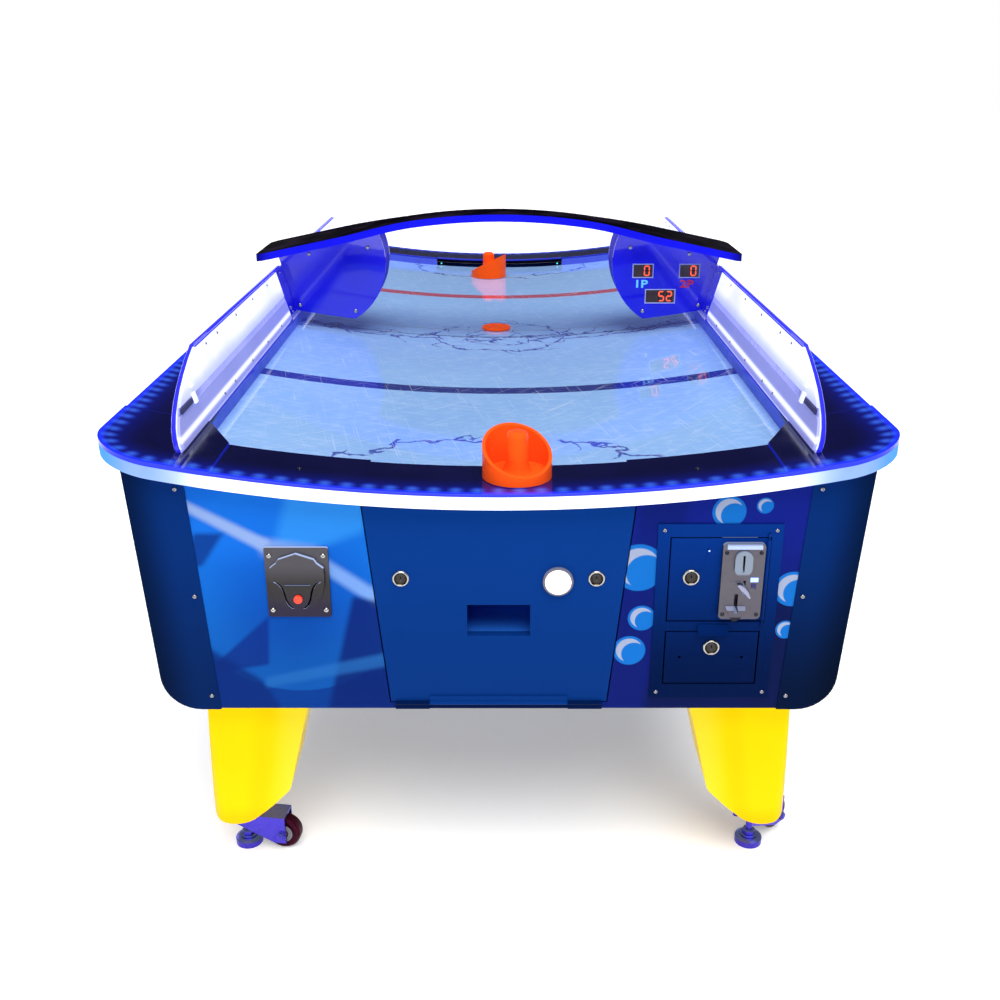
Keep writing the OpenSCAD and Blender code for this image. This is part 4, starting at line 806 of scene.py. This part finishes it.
def set_down(shape, spot, facing):
    """Move a shape from the Z axis to a spot in millimetres, facing a way."""
    turn = Vector(facing).to_track_quat("Z", "Y").to_matrix().to_4x4()
    bmesh.ops.transform(shape, matrix=Matrix.Translation(Vector(spot) * MM) @ turn, verts=shape.verts)
    return shape


def gathered(shapes):
    """Several shapes as one."""
    whole = bmesh.new()
    for shape in shapes:
        loose = bpy.data.meshes.new("loose")
        shape.to_mesh(loose)
        shape.free()
        whole.from_mesh(loose)
        bpy.data.meshes.remove(loose)
    return whole


def screw(spot, facing, r):
    """Pan-head screw with a round driver recess."""
    profile = [(r, 0), (r, 0.18 * r), (0.9 * r, 0.42 * r), (0.66 * r, 0.6 * r), (0.42 * r, 0.66 * r),
               (0.36 * r, 0.62 * r), (0.30 * r, 0.25 * r), (0, 0.2 * r)]
    return set_down(spun(profile, 14), spot, facing)


def screws(name, places, body, finish=SCREW_FINISH):
    """Screws at (spot, facing, radius) places, as one piece."""
    finished(name, gathered([screw(*place) for place in places]), body, finish)


FRONT, BACK = (0, -1, 0), (0, 1, 0)
both = (-1, 1)

# The trough, the rim's height and the guards' foot and strips, in millimetres
TROUGH_R, RIM_Z, GUARD_X, STRIP_T = 2700, 728, 473, 4


def rise(x):
    """How far the trough climbs from the centre line, in millimetres."""
    return TROUGH_R - math.sqrt(TROUGH_R ** 2 - x * x)


screws("corner_strip_screws",
       [((sx * x, sy * 1084.5, z), (0, sy, 0), 3.6)
        for sx in both for sy in both for x, z in ((480, 727), (468, 550), (458, 374))], "table")
screws("coin_frame_screws", [((x, -1085.5, z), FRONT, 3.2) for x in (250, 419) for z in (382, 661)], "table")
screws("acceptor_screws", [((370.75 + sx * 26, -1092, z), FRONT, 3.2) for sx in both for z in (523, 626.5)],
       "coin_hatch", DARK_SCREW)
screws("reader_screws", [((READER_X / MM + sx * 41, -1087, z), FRONT, 4.2) for sx in both for z in (528.5, 620)],
       "table", FINISHES["chrome"])
low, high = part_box("rear_service_panel")
screws("service_screws", [((x / MM, high.y / MM, z / MM), BACK, 4.0) for x in (low.x + 0.02, 0, high.x - 0.02)
                          for z in (low.z + 0.02, high.z - 0.02)], "table")
screws("post_screws",
       [((sx * x, sy * 50, z), (0, sy, 0), 4.6)
        for sx in both for sy in both for x, z in ((300, 923), (435, 908), (334, 777), (463, 791))], "table",
       FINISHES["chrome"])
screws("rail_bolts", [((sx * 300, sy * 1046, RIM_Z + rise(300)), (-sx * 300 / TROUGH_R, 0, 1), 3.6)
                      for sx in both for sy in both], "table", DARK_SCREW)


def on_guard(side, along, slant, depth):
    """A point on a guard in millimetres, and the way towards the field."""
    out = Vector((math.cos(GUARD_LEAN), 0, -math.sin(GUARD_LEAN)))
    up = Vector((math.sin(GUARD_LEAN), 0, math.cos(GUARD_LEAN)))
    spot = Vector((GUARD_X, along, RIM_Z + rise(GUARD_X) + 1)) + up * slant + out * depth
    return (side * spot.x, spot.y, spot.z), (-side * out.x, 0, -out.z)


screws("guard_screws",
       [(*on_guard(side, end * along, slant, -STRIP_T), 2.6)
        for side in both for end in both for slant in (13, 104) for along in (90, 240, 390, 540, 690, 770)], "table")

# Score displays: lit and unlit bars, thin frames and the two players' marks
BARS = {"a": (0, 1, 0), "b": (1, 0.5, 1), "c": (1, -0.5, 1), "d": (0, -1, 0), "e": (-1, -0.5, 1), "f": (-1, 0.5, 1),
        "g": (0, 0, 0)}
LIT = {"0": "abcdef", "2": "abged", "5": "afgcd"}
BAR_THICK = 0.5 * MM


def bar(x, z, length, width, upright):
    """One bar of a digit: a flat six-sided strip with pointed ends, drawn on X and Z."""
    shape = bmesh.new()
    half, w = length / 2, width / 2
    outline = [(-half, 0), (-half + w, -w), (half - w, -w), (half, 0), (half - w, w), (-half + w, w)]
    verts = [shape.verts.new(((x + (b if upright else a)) * MM, 0, (z + (a if upright else b)) * MM))
             for a, b in outline]
    face = bmesh.ops.contextual_create(shape, geom=verts)["faces"]
    thick = bmesh.ops.extrude_face_region(shape, geom=face)["geom"]
    bmesh.ops.translate(shape, vec=(0, -BAR_THICK, 0), verts=[v for v in thick if isinstance(v, bmesh.types.BMVert)])
    bmesh.ops.recalc_face_normals(shape, faces=shape.faces)
    return shape


def digit(character, x, z, high, lit):
    """The lit or the unlit bars of a digit about its centre."""
    wide = high * 0.52
    gap, thick = high * 0.05, high * 0.12
    return [bar(x + bx * wide / 2, z + bz * high / 2, (high / 2 if upright else wide) - gap, thick, upright)
            for key, (bx, bz, upright) in BARS.items() if (key in LIT[character]) == lit]


def both_faces(shapes):
    """Set display pieces drawn on X and Z on the near face, and turned round on the far one."""
    whole = gathered(shapes)
    bmesh.ops.translate(whole, vec=(0, -DISPLAY_Y, 0), verts=whole.verts)
    half = bmesh.ops.duplicate(whole, geom=whole.verts[:] + whole.edges[:] + whole.faces[:])["geom"]
    bmesh.ops.rotate(whole, cent=(0, 0, 0), matrix=Matrix.Rotation(math.pi, 3, "Z"),
                     verts=[v for v in half if isinstance(v, bmesh.types.BMVert)])
    return whole


DIGITS = (("0", 340, 870, 21), ("0", 447, 870, 21), ("5", 376, 811.5, 21), ("2", 394, 811.5, 21))
finished("score_digits", both_faces([b for d in DIGITS for b in digit(*d, True)]), "table", DIGIT_LIT)
finished("score_digits_unlit", both_faces([b for d in DIGITS for b in digit(*d, False)]), "table",
         DIGIT_DIM)


FRAME_WIDE, FRAME_THICK = 2.2 * MM, 1.8 * MM


def window_frame(x, z, w, h):
    """Thin raised frame round a display window."""
    shape = bmesh.new()
    bmesh.ops.create_grid(shape, x_segments=1, y_segments=1, size=0.5,
                          matrix=Matrix.Translation(((x + w / 2) * MM, 0, (z + h / 2) * MM))
                          @ Matrix.Rotation(math.pi / 2, 4, "X")
                          @ Matrix.Diagonal((w * MM + 2 * FRAME_WIDE, h * MM + 2 * FRAME_WIDE, 1, 1)))
    inner = shape.faces[:]
    bmesh.ops.inset_region(shape, faces=inner, thickness=FRAME_WIDE, use_boundary=True, use_even_offset=True)
    bmesh.ops.delete(shape, geom=inner, context="FACES")
    bmesh.ops.solidify(shape, geom=shape.faces[:], thickness=FRAME_THICK)
    bmesh.ops.recalc_face_normals(shape, faces=shape.faces)
    bmesh.ops.translate(shape, vec=(0, -max(v.co.y for v in shape.verts), 0), verts=shape.verts)
    return shape


WINDOWS = ((309, 856, 44, 28), (416, 856, 44, 28), (340, 797, 66, 29))
finished("window_frames", both_faces([window_frame(*w) for w in WINDOWS]), "table", FRAME_EDGE)


def player_mark(name, words, x, z, high, finish):
    """A player's mark on the near and far displays."""
    text = bpy.data.curves.new(name, "FONT")
    text.body = words
    text.size = high * 1.35 * MM
    text.extrude = 0.0003
    text.offset = 0.0006
    text.align_x = "CENTER"
    loose = put_in_scene(name + "_text", text)
    bpy.context.view_layer.update()
    mesh = bpy.data.meshes.new_from_object(loose.evaluated_get(bpy.context.evaluated_depsgraph_get()))
    bpy.data.objects.remove(loose)
    shape = bmesh.new()
    shape.from_mesh(mesh)
    bpy.data.meshes.remove(mesh)
    bmesh.ops.rotate(shape, cent=(0, 0, 0), matrix=Matrix.Rotation(math.pi / 2, 3, "X"), verts=shape.verts)
    bmesh.ops.scale(shape, vec=(1.3, 1, 1), verts=shape.verts)
    bmesh.ops.translate(shape, vec=(x * MM, -0.0012, z * MM), verts=shape.verts)
    finished(name, both_faces([shape]), "table", finish)


player_mark("first_player_mark", "1P", 327, 832, 18, FIRST_MARK)
player_mark("second_player_mark", "2P", 433, 832, 18, SECOND_MARK)

# Wheel hubs: a dished disc on both sides of each wheel
HUB = [(0, 2.6), (4.0, 2.6), (4.6, 1.8), (7.0, 1.2), (8.0, 0.4), (14.0, 0.4), (15.5, 1.4), (17.0, 1.4), (17.6, 0.0)]
HUB_OUT = 12.0


def wheel_hub(centre, axle):
    """Both discs of a wheel."""
    shapes = []
    for way in both:
        facing = Vector(axle) * way
        spot = Vector(centre) / MM + facing * HUB_OUT
        shapes.append(set_down(spun(HUB, 28), spot, facing))
    return gathered(shapes)


for joint in frame["joints"]:
    if joint["child"].startswith("roller_"):
        low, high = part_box(joint["child"].replace("roller", "wheel"))
        hub = wheel_hub((low + high) / 2, joint["axis"])
        finished(joint["child"] + "_hub", hub, joint["child"], FINISHES["grey_plastic"])


# Clips where the guard strips end

def block(spot, axes, sizes):
    """A rounded box about a spot in millimetres, along three axes."""
    shape = bmesh.new()
    bmesh.ops.create_cube(shape, size=1.0)
    bmesh.ops.scale(shape, vec=Vector(sizes) * MM, verts=shape.verts)
    bmesh.ops.bevel(shape, geom=shape.edges[:], offset=min(sizes) * 0.2 * MM, segments=2, affect="EDGES", profile=0.5)
    turn = Matrix([list(axis) for axis in axes]).transposed().to_4x4()
    bmesh.ops.transform(shape, matrix=Matrix.Translation(Vector(spot) * MM) @ turn, verts=shape.verts)
    bmesh.ops.recalc_face_normals(shape, faces=shape.faces)
    return shape


def guard_block(side, along, slant, sizes):
    """A box on a guard's inner face: depth, length and slant height."""
    spot, inward = on_guard(side, along, slant, -STRIP_T - sizes[0] / 2)
    inward = Vector(inward)
    up = inward.cross(Vector((0, 1, 0)))
    return block(spot, (inward, Vector((0, 1, 0)), up), sizes)


ends = [(side, end) for side in both for end in both]
finished("guard_end_clips", gathered([guard_block(side, end * 972, 51, (3, 66, 8)) for side, end in ends]), "table",
         DARK_CLIP_AND_POCKET_SHADE)
finished("guard_standoffs",
         gathered([guard_block(side, end * along, slant, (4, 13, 17)) for side, end in ends
                   for along, slant in ((925, 51), (917, 76))]), "table", CLIP_WHITE)

# Coin entry lamps and goal lamps
low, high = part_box("coin_door")
finished("coin_door_lamp",
         set_down(spun([(1.4, 0), (1.4, 0.4), (0.9, 1.0), (0, 1.2)], 12), (318, low.y / MM - 0.2, 629), FRONT),
         "coin_hatch", COIN_LAMP)
LEVEL = ((1, 0, 0), (0, 1, 0), (0, 0, 1))
finished("coin_entry_lamp", block((389.4, -1092.4, 582), LEVEL, (12, 1.6, 7)), "coin_hatch", COIN_LAMP)
# dark block standing in as painted shade inside the coin entry's pocket
finished("coin_entry_pocket_shade", block((389.0, -1092.2, 572), LEVEL, (8, 1.0, 7)), "coin_hatch",
         DARK_CLIP_AND_POCKET_SHADE)
GOAL_LENS = [(2.6, 0), (2.6, 1.0), (2.0, 1.8), (0, 2.2)]
finished("goal_lamps",
         gathered([set_down(spun(GOAL_LENS, 16), (sx * 186, sy * 983, 716), (0, -sy, 0))
                   for sx in both for sy in both]), "table", TEAL_LAMP)


# Floor

def floor_sheet():
    """Wide white paper under the table, for the stage only."""
    shape = bmesh.new()
    bmesh.ops.create_grid(shape, x_segments=1, y_segments=1, size=30)
    mesh = bpy.data.meshes.new("floor")
    shape.to_mesh(mesh)
    shape.free()
    f = Finish("floor_paper")
    f.set("Base_Color", f.mix(f.noise(1.2, 3.0), (0.93, 0.93, 0.935, 1), (0.95, 0.95, 0.955, 1)))
    f.rough(0.7, 0.05, 4)
    f.set("Emission_Color", (1, 1, 1, 1))
    f.set("Emission_Strength", 0.3)
    mesh.materials.append(f.material)
    put_in_scene("floor", mesh)


floor_sheet()
